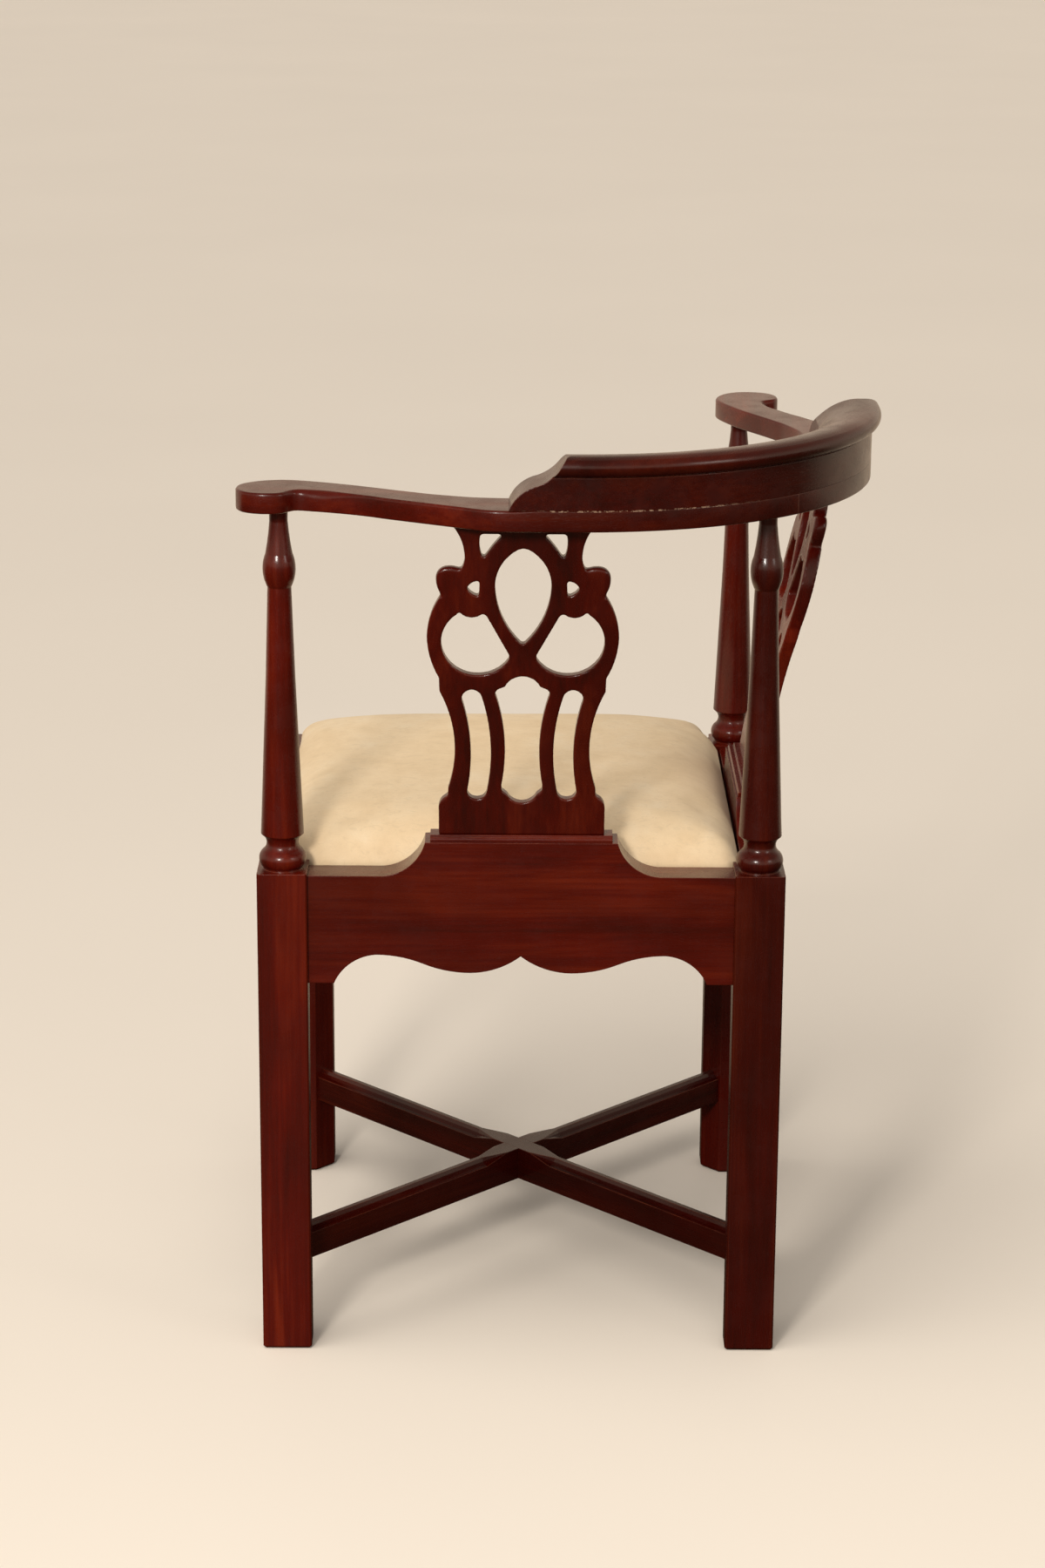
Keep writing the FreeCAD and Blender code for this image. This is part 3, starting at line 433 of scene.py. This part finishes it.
def armRows(c):
    # one parameter runs along the arm and the other round its section: a rectangle between the outer and the
    # inner edge line, with quarter rounds of radius r set in from each edge along its normal.
    # r grows at the neck of the hand as a bell, exp(-(distance / length)^2), and shrinks under the crest.
    post = np.array(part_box("left_post")).mean(0)[:2]
    middle = post + c["postOffset"] + np.array([c["curveCentre"], -c["curveCentre"]])
    swing = np.linspace(math.pi / 4, 0, c["arcSteps"], endpoint=False)[:, None]
    arc = np.hstack([np.sin(swing), -np.cos(swing)])
    outer, inner = (
        smoothLine(np.vstack([middle + c[side + "Radius"] * arc, middle + c[side + "Edge"],
                              post + c[side + "Hand"]]), c["stations"])
        for side in ("outer", "inner"))
    loop = np.vstack([outer, inner[-2::-1]])
    ahead = np.gradient(loop, axis=0)
    ahead /= np.linalg.norm(ahead, axis=1, keepdims=True)
    inward = np.stack([ahead[:, 1], -ahead[:, 0]], 1)
    diagonal = 0.5 ** 0.5
    inward[[0, -1]] = [[-diagonal, diagonal], [diagonal, -diagonal]]
    free = np.clip((middle[0] - c["crestReach"] - loop[:, 0]) / c["crestFade"], 0, 1)
    easing = c["underCrest"] + (c["edge"] - c["underCrest"]) * free * free * (3 - 2 * free)
    away = np.linalg.norm(loop - (post + c["sweepAt"]), axis=1)
    easing = (easing + c["sweep"] * np.exp(-(away / c["sweepLength"]) ** 2))[:, None]
    under = np.full_like(easing, c["underEdge"])
    turn = np.linspace(0, math.pi / 2, c["roundSteps"])
    setIn = np.hstack([under + c["rim"], under * (1 - np.sin(turn)), 0 * easing,
                       easing * (1 - np.cos(turn)), easing + c["rim"]])
    height = np.hstack([c["low"] + 0 * under, c["low"] + under * (1 - np.cos(turn)),
                        0 * easing + (c["low"] + c["high"]) / 2,
                        c["high"] - easing * (1 - np.sin(turn)), c["high"] + 0 * easing])
    around = np.concatenate([loop[:, None] + inward[:, None] * setIn[..., None], height[..., None]], -1)
    outerSide, innerSide = around[:c["stations"]], around[c["stations"] - 1:][::-1]
    share = np.linspace(0, 1, c["faceSteps"])[None, 1:-1, None]
    top = outerSide[:, -1:] * (1 - share) + innerSide[:, -1:] * share
    bottom = innerSide[:, :1] * (1 - share) + outerSide[:, :1] * share
    return np.concatenate([outerSide, top, innerSide[:, ::-1], bottom], 1)


def armShape(name, c, right):
    # the right arm is the left one with x and y exchanged and both turned round
    rows = armRows(c)
    if right:
        rows = np.stack([-rows[..., 1], -rows[..., 0], rows[..., 2]], -1)
    piece = meshFromGrid(name, rows, True, rows[0].mean(0))
    shell = bmesh.new()
    shell.from_mesh(piece.data)
    bmesh.ops.remove_doubles(shell, verts=shell.verts, dist=c["weld"])
    bmesh.ops.dissolve_degenerate(shell, edges=shell.edges, dist=c["sliver"])
    bmesh.ops.recalc_face_normals(shell, faces=shell.faces)
    shell.to_mesh(piece.data)
    shell.free()
    piece.data.shade_smooth()
    piece.data.set_sharp_from_angle(angle=math.radians(c["sharpAbove"]))
    return piece


for node in ("left_arm", "right_arm"):
    arm = armShape(node + "_eased", arms, node == "right_arm")
    arm.data.materials.append(finishes[node])
    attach(arm, "frame")
    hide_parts(node)
print("arms eased")


# The splats: edges eased by the scraper, and the four ears carved round
splats = {
    "cell": 0.0011, "joinWithin": 0.00002, "easeSteps": 2, "carveSteps": 55,
    "earAcross": 0.0625, "earHeight": 0.7065, "earWide": 0.0132, "earTall": 0.0185,
}


def carvedSplat(node, c):
    # a merged copy of the splat in even cells, averaged with its neighbours a little everywhere and a lot
    # inside each ear's ellipse: (across / wide)^2 + (up / tall)^2 < 1
    shell = bmesh.new()
    shell.from_mesh(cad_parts[node].data)
    bmesh.ops.remove_doubles(shell, verts=shell.verts, dist=c["joinWithin"])
    mesh = bpy.data.meshes.new(node + "_carved")
    shell.to_mesh(mesh)
    shell.free()
    piece = addObject(mesh.name, mesh)
    evenCells(piece, c["cell"])
    places = positionsOf(piece.data)
    low, high = (np.array(end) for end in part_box(node))
    side = int(high[1] - low[1] > high[0] - low[0])
    across = np.abs(places[:, side] - (low[side] + high[side]) / 2) - c["earAcross"]
    up = places[:, 2] - c["earHeight"]
    markPoints(piece, "ears", (across / c["earWide"]) ** 2 + (up / c["earTall"]) ** 2 < 1)
    addAveraging(piece, "carve", c["carveSteps"], "ears")
    addAveraging(piece, "ease", c["easeSteps"])
    applyModifiers(piece)
    piece.data.shade_smooth()
    return piece


for node in ("rear_left_splat", "rear_right_splat"):
    splat = carvedSplat(node, splats)
    splat.data.materials.clear()
    splat.data.materials.append(finishes[node])
    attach(splat, "frame")
    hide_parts(node)
    print(node, "carved:", len(splat.data.polygons), "faces")


# The slip seat's cushion. Its plan has a notch at each post, and a ring's set in is its share of the way
# from the outline to the middle. Noises and names ending in At are written as mahogany's are.
cushion = {
    "left": -0.2431, "right": 0.1540, "near": -0.1530, "far": 0.2431,
    "notchLow": -0.2164, "notchHigh": 0.1462,
    "bottom": 0.4178, "upright": 0.4405, "roll": 0.0260, "shoulder": 0.4640, "crown": 0.4745,
    "radii": (0.020, 0.005, 0.004, 0.005, 0.003, 0.003, 0.003, 0.005, 0.004, 0.005), "arcSteps": 10,
    "around": 400, "underRings": (0.12, 0.06, 0.02, 0.002, 0.0), "fold": 0.002, "wall": (0.006, 0.003),
    "wallRings": 3, "rollRings": 12, "topRings": 18, "topFrom": 0.036, "topTo": 0.19,
    "bulge": 0.0105, "bulgePower": 0.7, "proud": 0.001,  # the front sides stand proud over the rails
    "inset": 0.0010, "voxel": 0.0045, "pressure": 2.6, "cap": 0.0040, "frames": 20, "quality": 6,
    "calmSteps": 30,
    "colour": (0.89, 0.685, 0.440), "shade": (0.83, 0.620, 0.380), "pale": (0.92, 0.740, 0.510),
    "lay": ((16.0, 11.0, 16.0), 3.0, 0.55, 0.6), "layShare": 0.62,
    "patches": ((70.0, 70.0, 70.0), 3.0, 0.6), "patchShare": 0.38, "rampAt": (0.36, 0.52, 0.68),
    "strokes": ((90.0, 170.0, 120.0), 3.0, 0.6, 1.6), "strokesAt": (0.54, 0.66, 0.0, 0.30),
    "strokeShade": 0.82,
    "fibre": ((1500.0, 1500.0, 1500.0), 3.0, 0.6), "fibreAt": (0.35, 0.70, 0.0, 0.16), "fibreShade": 0.6,
    "roughnessAt": (0.3, 0.7, 0.82, 0.95), "fibreHeight": 0.35, "patchHeight": 0.8,
    "reliefStrength": 0.35, "reliefDepth": 0.0006,
    "sheen": 0.10, "sheenRoughness": 0.45, "sheenTint": (1.0, 0.93, 0.82), "specular": 0.25,
}


def cushionShape(c):
    # round the plan by one parameter, and from the underside's middle over the edge to the crown by the
    # other. The edge is a quarter ellipse that bulges over the front rails, and above it
    # height = shoulder + rise x (1 - x^4)(1 - y^4), x and y running -1 to 1 over the seat.
    e = c["inset"]
    low, high = c["notchLow"] + e, c["notchHigh"] - e
    left, right, near, far = c["left"] + e, c["right"] - e, c["near"] + e, c["far"] - e
    plan = [(left, far), (left, -high), (low, -high), (low, near), (high, near),
            (high, -high), (right, -high), (right, -low), (high, -low), (high, far)]
    outline = roundedOutline(plan, c["radii"], c["arcSteps"])
    outline = evenPoints(np.vstack([outline, outline[:1]]), c["around"], endpoint=False)
    centre = np.array([(left + right) / 2, (near + far) / 2])
    reach = np.array([(right - left) / 2, (far - near) / 2])
    turn = np.linspace(0, math.pi / 2, c["rollRings"])
    below, topRings = len(c["underRings"]), c["topRings"]
    upright, shoulder = c["upright"], c["shoulder"]
    inward = np.concatenate([c["underRings"], np.zeros(c["wallRings"]), c["roll"] * (1 - np.cos(turn)),
                             np.linspace(c["topFrom"], c["topTo"], topRings)])
    wallFrom, wallTo = c["bottom"] + c["wall"][0], upright - c["wall"][1]
    heights = np.concatenate([[c["bottom"]] * (below - 1), [c["bottom"] + c["fold"]],
                              np.linspace(wallFrom, wallTo, c["wallRings"]),
                              upright + (shoulder - upright) * np.sin(turn), np.full(topRings, shoulder)])
    belly = np.sin(np.clip(turn * 2, 0, math.pi)) ** c["bulgePower"]
    swell = np.concatenate([np.zeros(below + c["wallRings"]), belly, np.zeros(topRings)])[:, None]
    flat = centre + (outline - centre)[None] * (1 - inward[:, None, None] / reach.min())
    share = np.clip((flat - centre) / reach, -1, 1)
    # the last sixth of the way to each front side bulges
    frontSide = np.stack([-np.clip(-share[..., 0] * 6 - 5, 0, 1), np.clip(share[..., 1] * 6 - 5, 0, 1)], -1)
    flat = flat + frontSide * (swell * c["bulge"])[..., None]
    rise = (c["crown"] - shoulder) * (1 - share[..., 0] ** 4) * (1 - share[..., 1] ** 4)
    over = np.clip((heights[:, None] - upright) / (shoulder - upright), 0, 1)
    rows = np.concatenate([flat, (heights[:, None] + rise * over)[..., None]], -1)
    return meshFromGrid("seat_cushion", rows, True, [*centre, c["bottom"]], [*centre, c["crown"]])


def plumpCushion(piece, c):
    # the cloth above the straight sides is pressed up from inside, and each point's move is eased to a cap
    # as cap x tanh(move / cap)
    evenCells(piece, c["voxel"])
    start = positionsOf(piece.data)
    markPoints(piece, "held", start[:, 2] < c["upright"])
    cloth = piece.modifiers.new("cloth", "CLOTH")
    cloth.settings.use_pressure = True
    cloth.settings.uniform_pressure_force = c["pressure"]
    cloth.settings.effector_weights.gravity = 0
    cloth.settings.vertex_group_mass = "held"
    cloth.settings.quality = c["quality"]
    scene = bpy.context.scene
    for step in range(1, c["frames"] + 1):
        scene.frame_set(step)
    graph = bpy.context.evaluated_depsgraph_get()
    moved = positionsOf(piece.evaluated_get(graph).data)
    scene.frame_set(1)
    piece.modifiers.clear()
    push = moved - start
    far = np.maximum(np.linalg.norm(push, axis=1, keepdims=True), 1e-9)
    ends = start + push / far * (c["cap"] * np.tanh(far / c["cap"]))
    proud = np.where(start[:, 2] > c["upright"], c["bulge"] + c["proud"], 0.0)
    ends[:, 0] = np.clip(ends[:, 0], c["left"] - proud, c["right"])
    ends[:, 1] = np.clip(ends[:, 1], c["near"], c["far"] + proud)
    piece.data.vertices.foreach_set("co", ends.ravel())
    piece.data.update()
    addAveraging(piece, "calm", c["calmSteps"], "held", outside=True)  # leaves only the broad creases
    smooth = piece.modifiers.new("fine", "SUBSURF")
    smooth.levels = smooth.render_levels = 1
    applyModifiers(piece)
    piece.data.shade_smooth()
    farthest = np.linalg.norm(ends - start, axis=1).max()
    print("cushion plumped: moved up to %.1f mm, crown at %.1f from %.1f"
          % tuple(1000 * v for v in (farthest, ends[:, 2].max(), start[:, 2].max())))


def seatCloth(name, c):
    # a short brushed nap: broad soft shading where the nap lies over, short wavy marks where it was brushed,
    # fine fibre under them, and a sheen at the edges
    material, tree, shader = startMaterial(name)
    place = objectPlace(tree)
    patches = noiseOn(tree, place, *c["patches"])
    fibre = noiseOn(tree, place, *c["fibre"])
    mixed = sharesOf(tree, noiseOn(tree, place, *c["lay"]), c["layShare"], patches, c["patchShare"])
    colour = colourRamp(tree, mixed, c["rampAt"], (c["shade"], c["colour"], c["pale"]))
    strokes = rangeOf(tree, noiseOn(tree, place, *c["strokes"]), *c["strokesAt"])
    colour = blendColours(tree, strokes, colour, opaque(c["shade"], c["strokeShade"]))
    fibres = rangeOf(tree, fibre, *c["fibreAt"])
    colour = blendColours(tree, fibres, colour, opaque(c["shade"], c["fibreShade"]))
    tree.links.new(colour, shader.inputs["Base Color"])
    tree.links.new(rangeOf(tree, patches, *c["roughnessAt"]), shader.inputs["Roughness"])
    relief = sharesOf(tree, fibre, c["fibreHeight"], patches, c["patchHeight"])
    addRelief(tree, shader, relief, c["reliefStrength"], c["reliefDepth"])
    shader.inputs["Sheen Weight"].default_value = c["sheen"]
    shader.inputs["Sheen Roughness"].default_value = c["sheenRoughness"]
    shader.inputs["Sheen Tint"].default_value = opaque(c["sheenTint"])
    shader.inputs["Specular IOR Level"].default_value = c["specular"]
    return material


seatCushion = cushionShape(cushion)
plumpCushion(seatCushion, cushion)
seatCushion.data.materials.clear()
seatCushion.data.materials.append(seatCloth("seat_fabric", cushion))
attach(seatCushion, "slip_seat")
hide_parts("seat_cover", "seat_foam")
print("cushion done")


# The cloth under the seat: a square grid with its rim drawn up to the board
underCloth = {
    "low": -0.2164, "high": 0.1277, "level": 0.41745, "sag": 0.0004, "steps": 60, "thickness": 0.0004,
    "colour": (0.030, 0.028, 0.030), "darker": 0.55, "lighter": 1.7, "rampAt": (0.35, 0.65),
    "warp": ((60.0, 1800.0, 60.0), 2.0), "weft": ((1800.0, 60.0, 60.0), 2.0),
    "roughnessAt": (0.7, 1.3, 0.85, 0.97), "reliefStrength": 0.4, "reliefDepth": 0.0003,
}


def stretchedCloth(c):
    # height = level - sag x sin(pi u) x sin(pi v)
    along = np.linspace(0, 1, c["steps"])
    u, v = np.meshgrid(along, along, indexing="ij")
    span = c["high"] - c["low"]
    height = c["level"] - c["sag"] * np.sin(math.pi * u) * np.sin(math.pi * v)
    rows = np.stack([c["low"] + span * u, -c["high"] + span * v, height], -1)
    return meshFromGrid("seat_under_cloth", rows, False)


def darkCloth(name, c):
    # a thin non-woven cloth: two crossed line noises
    material, tree, shader = startMaterial(name)
    place = objectPlace(tree)
    weave = mathOf(tree, "ADD", noiseOn(tree, place, *c["warp"]), noiseOn(tree, place, *c["weft"]))
    tones = (shaded(c["colour"], c["darker"]), shaded(c["colour"], c["lighter"]))
    colour = colourRamp(tree, product(tree, weave, 0.5), c["rampAt"], tones)
    tree.links.new(colour, shader.inputs["Base Color"])
    tree.links.new(rangeOf(tree, weave, *c["roughnessAt"]), shader.inputs["Roughness"])
    addRelief(tree, shader, weave, c["reliefStrength"], c["reliefDepth"])
    return material


dustCloth = stretchedCloth(underCloth)
dustCloth.data.flip_normals()
thick = dustCloth.modifiers.new("thickness", "SOLIDIFY")
thick.thickness, thick.offset = underCloth["thickness"], 0.0
dustCloth.data.materials.append(darkCloth("dust_cloth", underCloth))
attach(dustCloth, "slip_seat")
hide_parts("seat_dust_cover")


# Tacks along the cloth's edge, and screws in the glue blocks. A screw face is a point and its outward
# direction, and the slot's wall and margin are shares of the head's radius.
steel = {"colour": (0.36, 0.34, 0.31), "darker": 0.5, "rampAt": (0.35, 0.6),
         "tarnish": ((420.0, 420.0, 420.0), 4.0, 0.65), "roughnessAt": (0.3, 0.7, 0.52, 0.30)}
tackHead = {"radius": 0.0042, "height": 0.0014, "pitch": 0.0240, "edge": 0.0060, "sides": 12,
            "rings": (1.0, 0.95, 0.72, 0.38), "stray": 0.0009, "sunk": 0.0003, "seed": 7}
screws = {
    "radius": 0.0044, "height": 0.0013, "slotWidth": 0.0010, "slotDepth": 0.0009, "sunk": 0.0006,
    "slotWall": 0.01, "slotMargin": 0.001, "outermost": 1.5, "innermost": 0.25, "strips": 7, "across": 13,
    "apart": 0.034, "level": 0.391, "seed": 11, "count": 8, "shade": 0.75, "sharpAbove": 45,
    "faces": [((-0.1825, -0.1062), (0.6566, 0.7543)), ((0.1062, -0.1062), (-0.7071, 0.7071)),
              ((0.1062, 0.1825), (-0.7543, -0.6566)), ((-0.1825, 0.1825), (0.7071, -0.7071))],
}


def dullSteel(name, c, shade=1.0):
    material, tree, shader = startMaterial(name)
    tarnish = noiseOn(tree, objectPlace(tree), *c["tarnish"])
    colour = shaded(c["colour"], shade)
    tones = (shaded(colour, c["darker"]), colour)
    tree.links.new(colourRamp(tree, tarnish, c["rampAt"], tones), shader.inputs["Base Color"])
    tree.links.new(rangeOf(tree, tarnish, *c["roughnessAt"]), shader.inputs["Roughness"])
    shader.inputs["Metallic"].default_value = 1.0
    return material


def tackShape(c):
    # a dome hanging down: radius x sin(v) across, height x cos(v) down
    turn = np.linspace(0, 2 * math.pi, c["sides"], endpoint=False)
    lift = np.array(c["rings"])[:, None] * math.pi / 2
    return np.stack([c["radius"] * np.sin(lift) * np.cos(turn), c["radius"] * np.sin(lift) * np.sin(turn),
                     -c["height"] * np.cos(lift) + 0 * turn], -1)


def tackPlaces(c, cloth):
    # along a square inside the cloth's edge, each a little astray
    low, high = cloth["low"] + c["edge"], cloth["high"] - c["edge"]
    count = int(round((high - low) / c["pitch"]))
    run = np.linspace(low, high, count, endpoint=False)
    one = np.ones(count)
    sides = ((run, -high * one), (high * one, run - low - high),
             (low + high - run, -low * one), (low * one, -run))
    places = np.vstack([np.stack(side, 1) for side in sides])
    stray = np.random.default_rng(c["seed"]).normal(0, c["stray"], places.shape)
    return np.column_stack([places + stray, np.full(len(places), cloth["level"] - c["sunk"])])


def copiesOf(name, shape, places, top):
    # every place adds the same closed cap of rings, as one array: points = shape + place
    rings, around = shape.shape[:2]
    one = np.vstack([shape.reshape(-1, 3), top])
    index = np.arange(rings * around).reshape(rings, around)
    step = np.roll(index, -1, 1)
    quads = np.stack([index[:-1], index[1:], step[1:], step[:-1]], -1).reshape(-1, 4)
    fan = np.stack([index[-1], np.full(around, rings * around), step[-1]], -1)
    offsets = (np.arange(len(places)) * len(one))[:, None, None]
    faces = (quads[None] + offsets).reshape(-1, 4).tolist() + (fan[None] + offsets).reshape(-1, 3).tolist()
    rims = (index[0][None] + offsets[:, 0]).tolist()
    return smoothPiece(name, (one[None] + places[:, None]).reshape(-1, 3), faces + rims)


tackSpots = tackPlaces(tackHead, underCloth)
tacks = copiesOf("seat_tacks", tackShape(tackHead), tackSpots, [[0, 0, -tackHead["height"]]])
tacks.data.materials.append(dullSteel("dull_steel", steel))
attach(tacks, "slip_seat")
print("under cloth and", len(tackSpots), "tacks")


def screwHead(c):
    # a round head cut in strips across its slot, all in shares of its radius: at x from the slot,
    # y = t x sqrt(1 - x^2) and height = dome x sqrt(1 - x^2 - y^2), less the slot's depth inside the slot
    half = c["slotWidth"] / c["radius"] / 2
    outer = np.sin(np.linspace(c["outermost"], c["innermost"], c["strips"]))
    slot = [-half - c["slotWall"], -half, half, half + c["slotWall"]]
    x = np.concatenate([-outer, slot, outer[::-1]])[:, None]
    t = np.sin(np.linspace(-math.pi / 2, math.pi / 2, c["across"]))[None, :]
    y = t * np.sqrt(1 - x ** 2)
    cut = np.where(np.abs(x) <= half + c["slotMargin"], c["slotDepth"], 0.0)
    dome = c["height"] * np.sqrt(np.clip(1 - x ** 2 - y ** 2, 0, 1)) - cut
    top = np.stack([x * c["radius"] + 0 * y, y * c["radius"], dome], -1)
    base = top[:, ::-1] * [1, 1, 0] - [0, 0, c["sunk"] + c["slotDepth"]]
    return np.concatenate([top, base], 1)


def screwRows(c, head, number, turn):
    # the head's x and y turned by the slot's angle in its block's face, and its height along the way out
    (middleX, middleY), (faceX, faceY) = c["faces"][number // 2]
    outward, upward = np.array([faceX, faceY, 0.0]), np.array([0.0, 0.0, 1.0])
    sideways = np.cross(upward, outward)
    first = sideways * math.cos(turn) + upward * math.sin(turn)
    second = np.cross(first, outward)
    centre = np.array([middleX, middleY, c["level"]]) + sideways * c["apart"] * (number % 2 - 0.5)
    return centre + head[..., :1] * first + head[..., 1:2] * second + head[..., 2:] * outward


headShape = screwHead(screws)
screwSteel = dullSteel("screw_steel", steel, screws["shade"])
slotTurns = np.random.default_rng(screws["seed"]).uniform(0, math.pi, screws["count"])
for number, turn in enumerate(slotTurns):
    rows = screwRows(screws, headShape, number, turn)
    screw = meshFromGrid("block_screw_%d" % (number + 1), rows, True, rows[0].mean(0), rows[-1].mean(0))
    screw.data.set_sharp_from_angle(angle=math.radians(screws["sharpAbove"]))
    screw.data.materials.append(screwSteel)
    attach(screw, "frame")
print(len(slotTurns), "screws in the glue blocks")


# Light, floor and camera. The mirrored values are what gloss sees of the room, pale near the horizon and
# dimmer overhead, from straight down at 0 to straight up at 1.
studio = {
    "floor": (0.90, 0.805, 0.695), "floorBounce": (0.16, 0.095, 0.050), "floorGloss": (0.055, 0.030, 0.014),
    "floorSize": 40.0, "floorSides": 96, "floorRoughness": 0.6, "floorSpecular": 0.2,
    "mottle": ((1.1, 1.1, 1.1), 2.0), "mottleAt": (0.3, 0.7), "mottleShades": (0.99, 1.01),
    "paleFrom": (0.4, 1.4), "horizon": (0.88, 0.81, 0.73), "ambient": 0.26, "ambientTint": (1.0, 0.97, 0.93),
    "mirroredAt": (0.50, 0.66, 0.80, 1.0), "mirroredShades": (0.95, 0.88, 0.34, 0.25),
    "mirroredTint": (0.76, 0.60, 0.45),
    "lamps": [
        {"name": "key", "at": (-1.05, -3.1, 2.0), "size": 0.50, "power": 54.0},
        {"name": "side", "at": (2.3, -1.9, 1.7), "size": 0.8, "power": 6.0},
    ],
    "lampAim": (0.0, 0.0, 0.45), "warmth": (1.0, 0.955, 0.89),
    "sky": {"from": (-0.45, -0.5, 1.0), "softness": 70.0, "strength": 2.05},
}


def paleFloor(c):
    turn = np.linspace(0, 2 * math.pi, c["floorSides"], endpoint=False)
    ring = np.stack([c["floorSize"] * np.cos(turn), c["floorSize"] * np.sin(turn), 0 * turn], 1)
    mesh = bpy.data.meshes.new("floor")
    mesh.from_pydata(ring.tolist(), [], [list(range(len(ring)))])
    floor = addObject("floor", mesh)
    material, tree, shader = startMaterial("pale_floor")
    place = objectPlace(tree)
    tones = [shaded(c["floor"], shade) for shade in c["mottleShades"]]
    mottled = colourRamp(tree, noiseOn(tree, place, *c["mottle"]), c["mottleAt"], tones)
    # polish shows a dark floor in front and the pale background behind
    depth = rangeOf(tree, axisOf(tree, place, 1), *c["paleFrom"])
    gloss = blendColours(tree, depth, opaque(c["floorGloss"]), opaque(c["mirroredTint"]))
    # pale to the eye, but it throws back little light, as the wooden floor does
    path = addNode(tree, "ShaderNodeLightPath")
    other = blendColours(tree, path.outputs["Is Glossy Ray"], opaque(c["floorBounce"]), gloss)
    colour = blendColours(tree, path.outputs["Is Camera Ray"], other, mottled)
    tree.links.new(colour, shader.inputs["Base Color"])
    shader.inputs["Roughness"].default_value = c["floorRoughness"]
    shader.inputs["Specular IOR Level"].default_value = c["floorSpecular"]
    mesh.materials.append(material)


def aimAlong(piece, direction):
    piece.rotation_euler = direction.to_track_quat("-Z", "Y").to_euler()


def hangLights(c):
    for lamp in c["lamps"]:
        light = bpy.data.lights.new(lamp["name"], "AREA")
        light.shape, light.size, light.energy = "SQUARE", lamp["size"], lamp["power"]
        light.color = c["warmth"]
        holder = addObject(lamp["name"], light)
        holder.location = lamp["at"]
        aimAlong(holder, Vector(c["lampAim"]) - Vector(lamp["at"]))
    sky = bpy.data.lights.new("overhead", "SUN")
    sky.energy, sky.angle, sky.color = c["sky"]["strength"], math.radians(c["sky"]["softness"]), c["warmth"]
    holder = addObject("overhead", sky)
    holder.visible_glossy = False  # what the polish shows comes from the world and the lamps
    aimAlong(holder, -Vector(c["sky"]["from"]))


def paintWorld(c):
    # the camera sees the horizon's colour, gloss sees the mirrored room, and the rest gets the ambient light
    world = bpy.data.worlds.new("studio")
    bpy.context.scene.world = world
    world.use_nodes = True
    tree = world.node_tree
    tree.nodes.clear()
    rays = addNode(tree, "ShaderNodeLightPath")
    plain = addNode(tree, "ShaderNodeBackground", None, Color=opaque(c["ambientTint"]), Strength=c["ambient"])
    upward = axisOf(tree, addNode(tree, "ShaderNodeTexCoord").outputs["Generated"], 2)
    room = [shaded(c["mirroredTint"], bright) for bright in c["mirroredShades"]]
    around = colourRamp(tree, rangeOf(tree, upward, -1.0, 1.0), c["mirroredAt"], room)
    mirrored = addNode(tree, "ShaderNodeBackground", None, Color=around, Strength=1.0)
    shown = addNode(tree, "ShaderNodeBackground", None, Color=opaque(c["horizon"]), Strength=1.0)
    shiny = mathOf(tree, "MAXIMUM", rays.outputs["Is Glossy Ray"], rays.outputs["Is Transmission Ray"])
    lit = addNode(tree, "ShaderNodeMixShader", None, i0=shiny, i1=plain.outputs[0], i2=mirrored.outputs[0])
    either = addNode(tree, "ShaderNodeMixShader", None, i0=rays.outputs["Is Camera Ray"], i1=lit.outputs[0],
                     i2=shown.outputs[0])
    addNode(tree, "ShaderNodeOutputWorld", None, i0=either.outputs[0])


paleFloor(studio)
hangLights(studio)
paintWorld(studio)

photoView = {"at": (-0.0477, -3.1238, 1.3899), "turn": 0.257, "dip": 16.49, "lean": 0.38, "lens": 55.57,
             "filmHeight": 24.0}


def aimCamera(c):
    # the view direction comes from the turn and the dip, and the lean rolls the frame about it
    turn, dip, lean = (math.radians(c[key]) for key in ("turn", "dip", "lean"))
    ahead = Vector((math.sin(turn) * math.cos(dip), math.cos(turn) * math.cos(dip), -math.sin(dip)))
    side = Vector((math.cos(turn), -math.sin(turn), 0.0))
    up = side.cross(ahead)
    right = side * math.cos(lean) + up * math.sin(lean)
    above = up * math.cos(lean) - side * math.sin(lean)
    lens = bpy.data.cameras.new("photo_view")
    lens.sensor_fit, lens.sensor_height, lens.lens = "VERTICAL", c["filmHeight"], c["lens"]
    camera = addObject("photo_view", lens)
    rows = [(right[i], above[i], -ahead[i], c["at"][i]) for i in range(3)]
    camera.matrix_world = Matrix((*rows, (0, 0, 0, 1)))
    bpy.context.scene.camera = camera


aimCamera(photoView)
bpy.context.scene.view_settings.view_transform = "Standard"
print("scene ready")
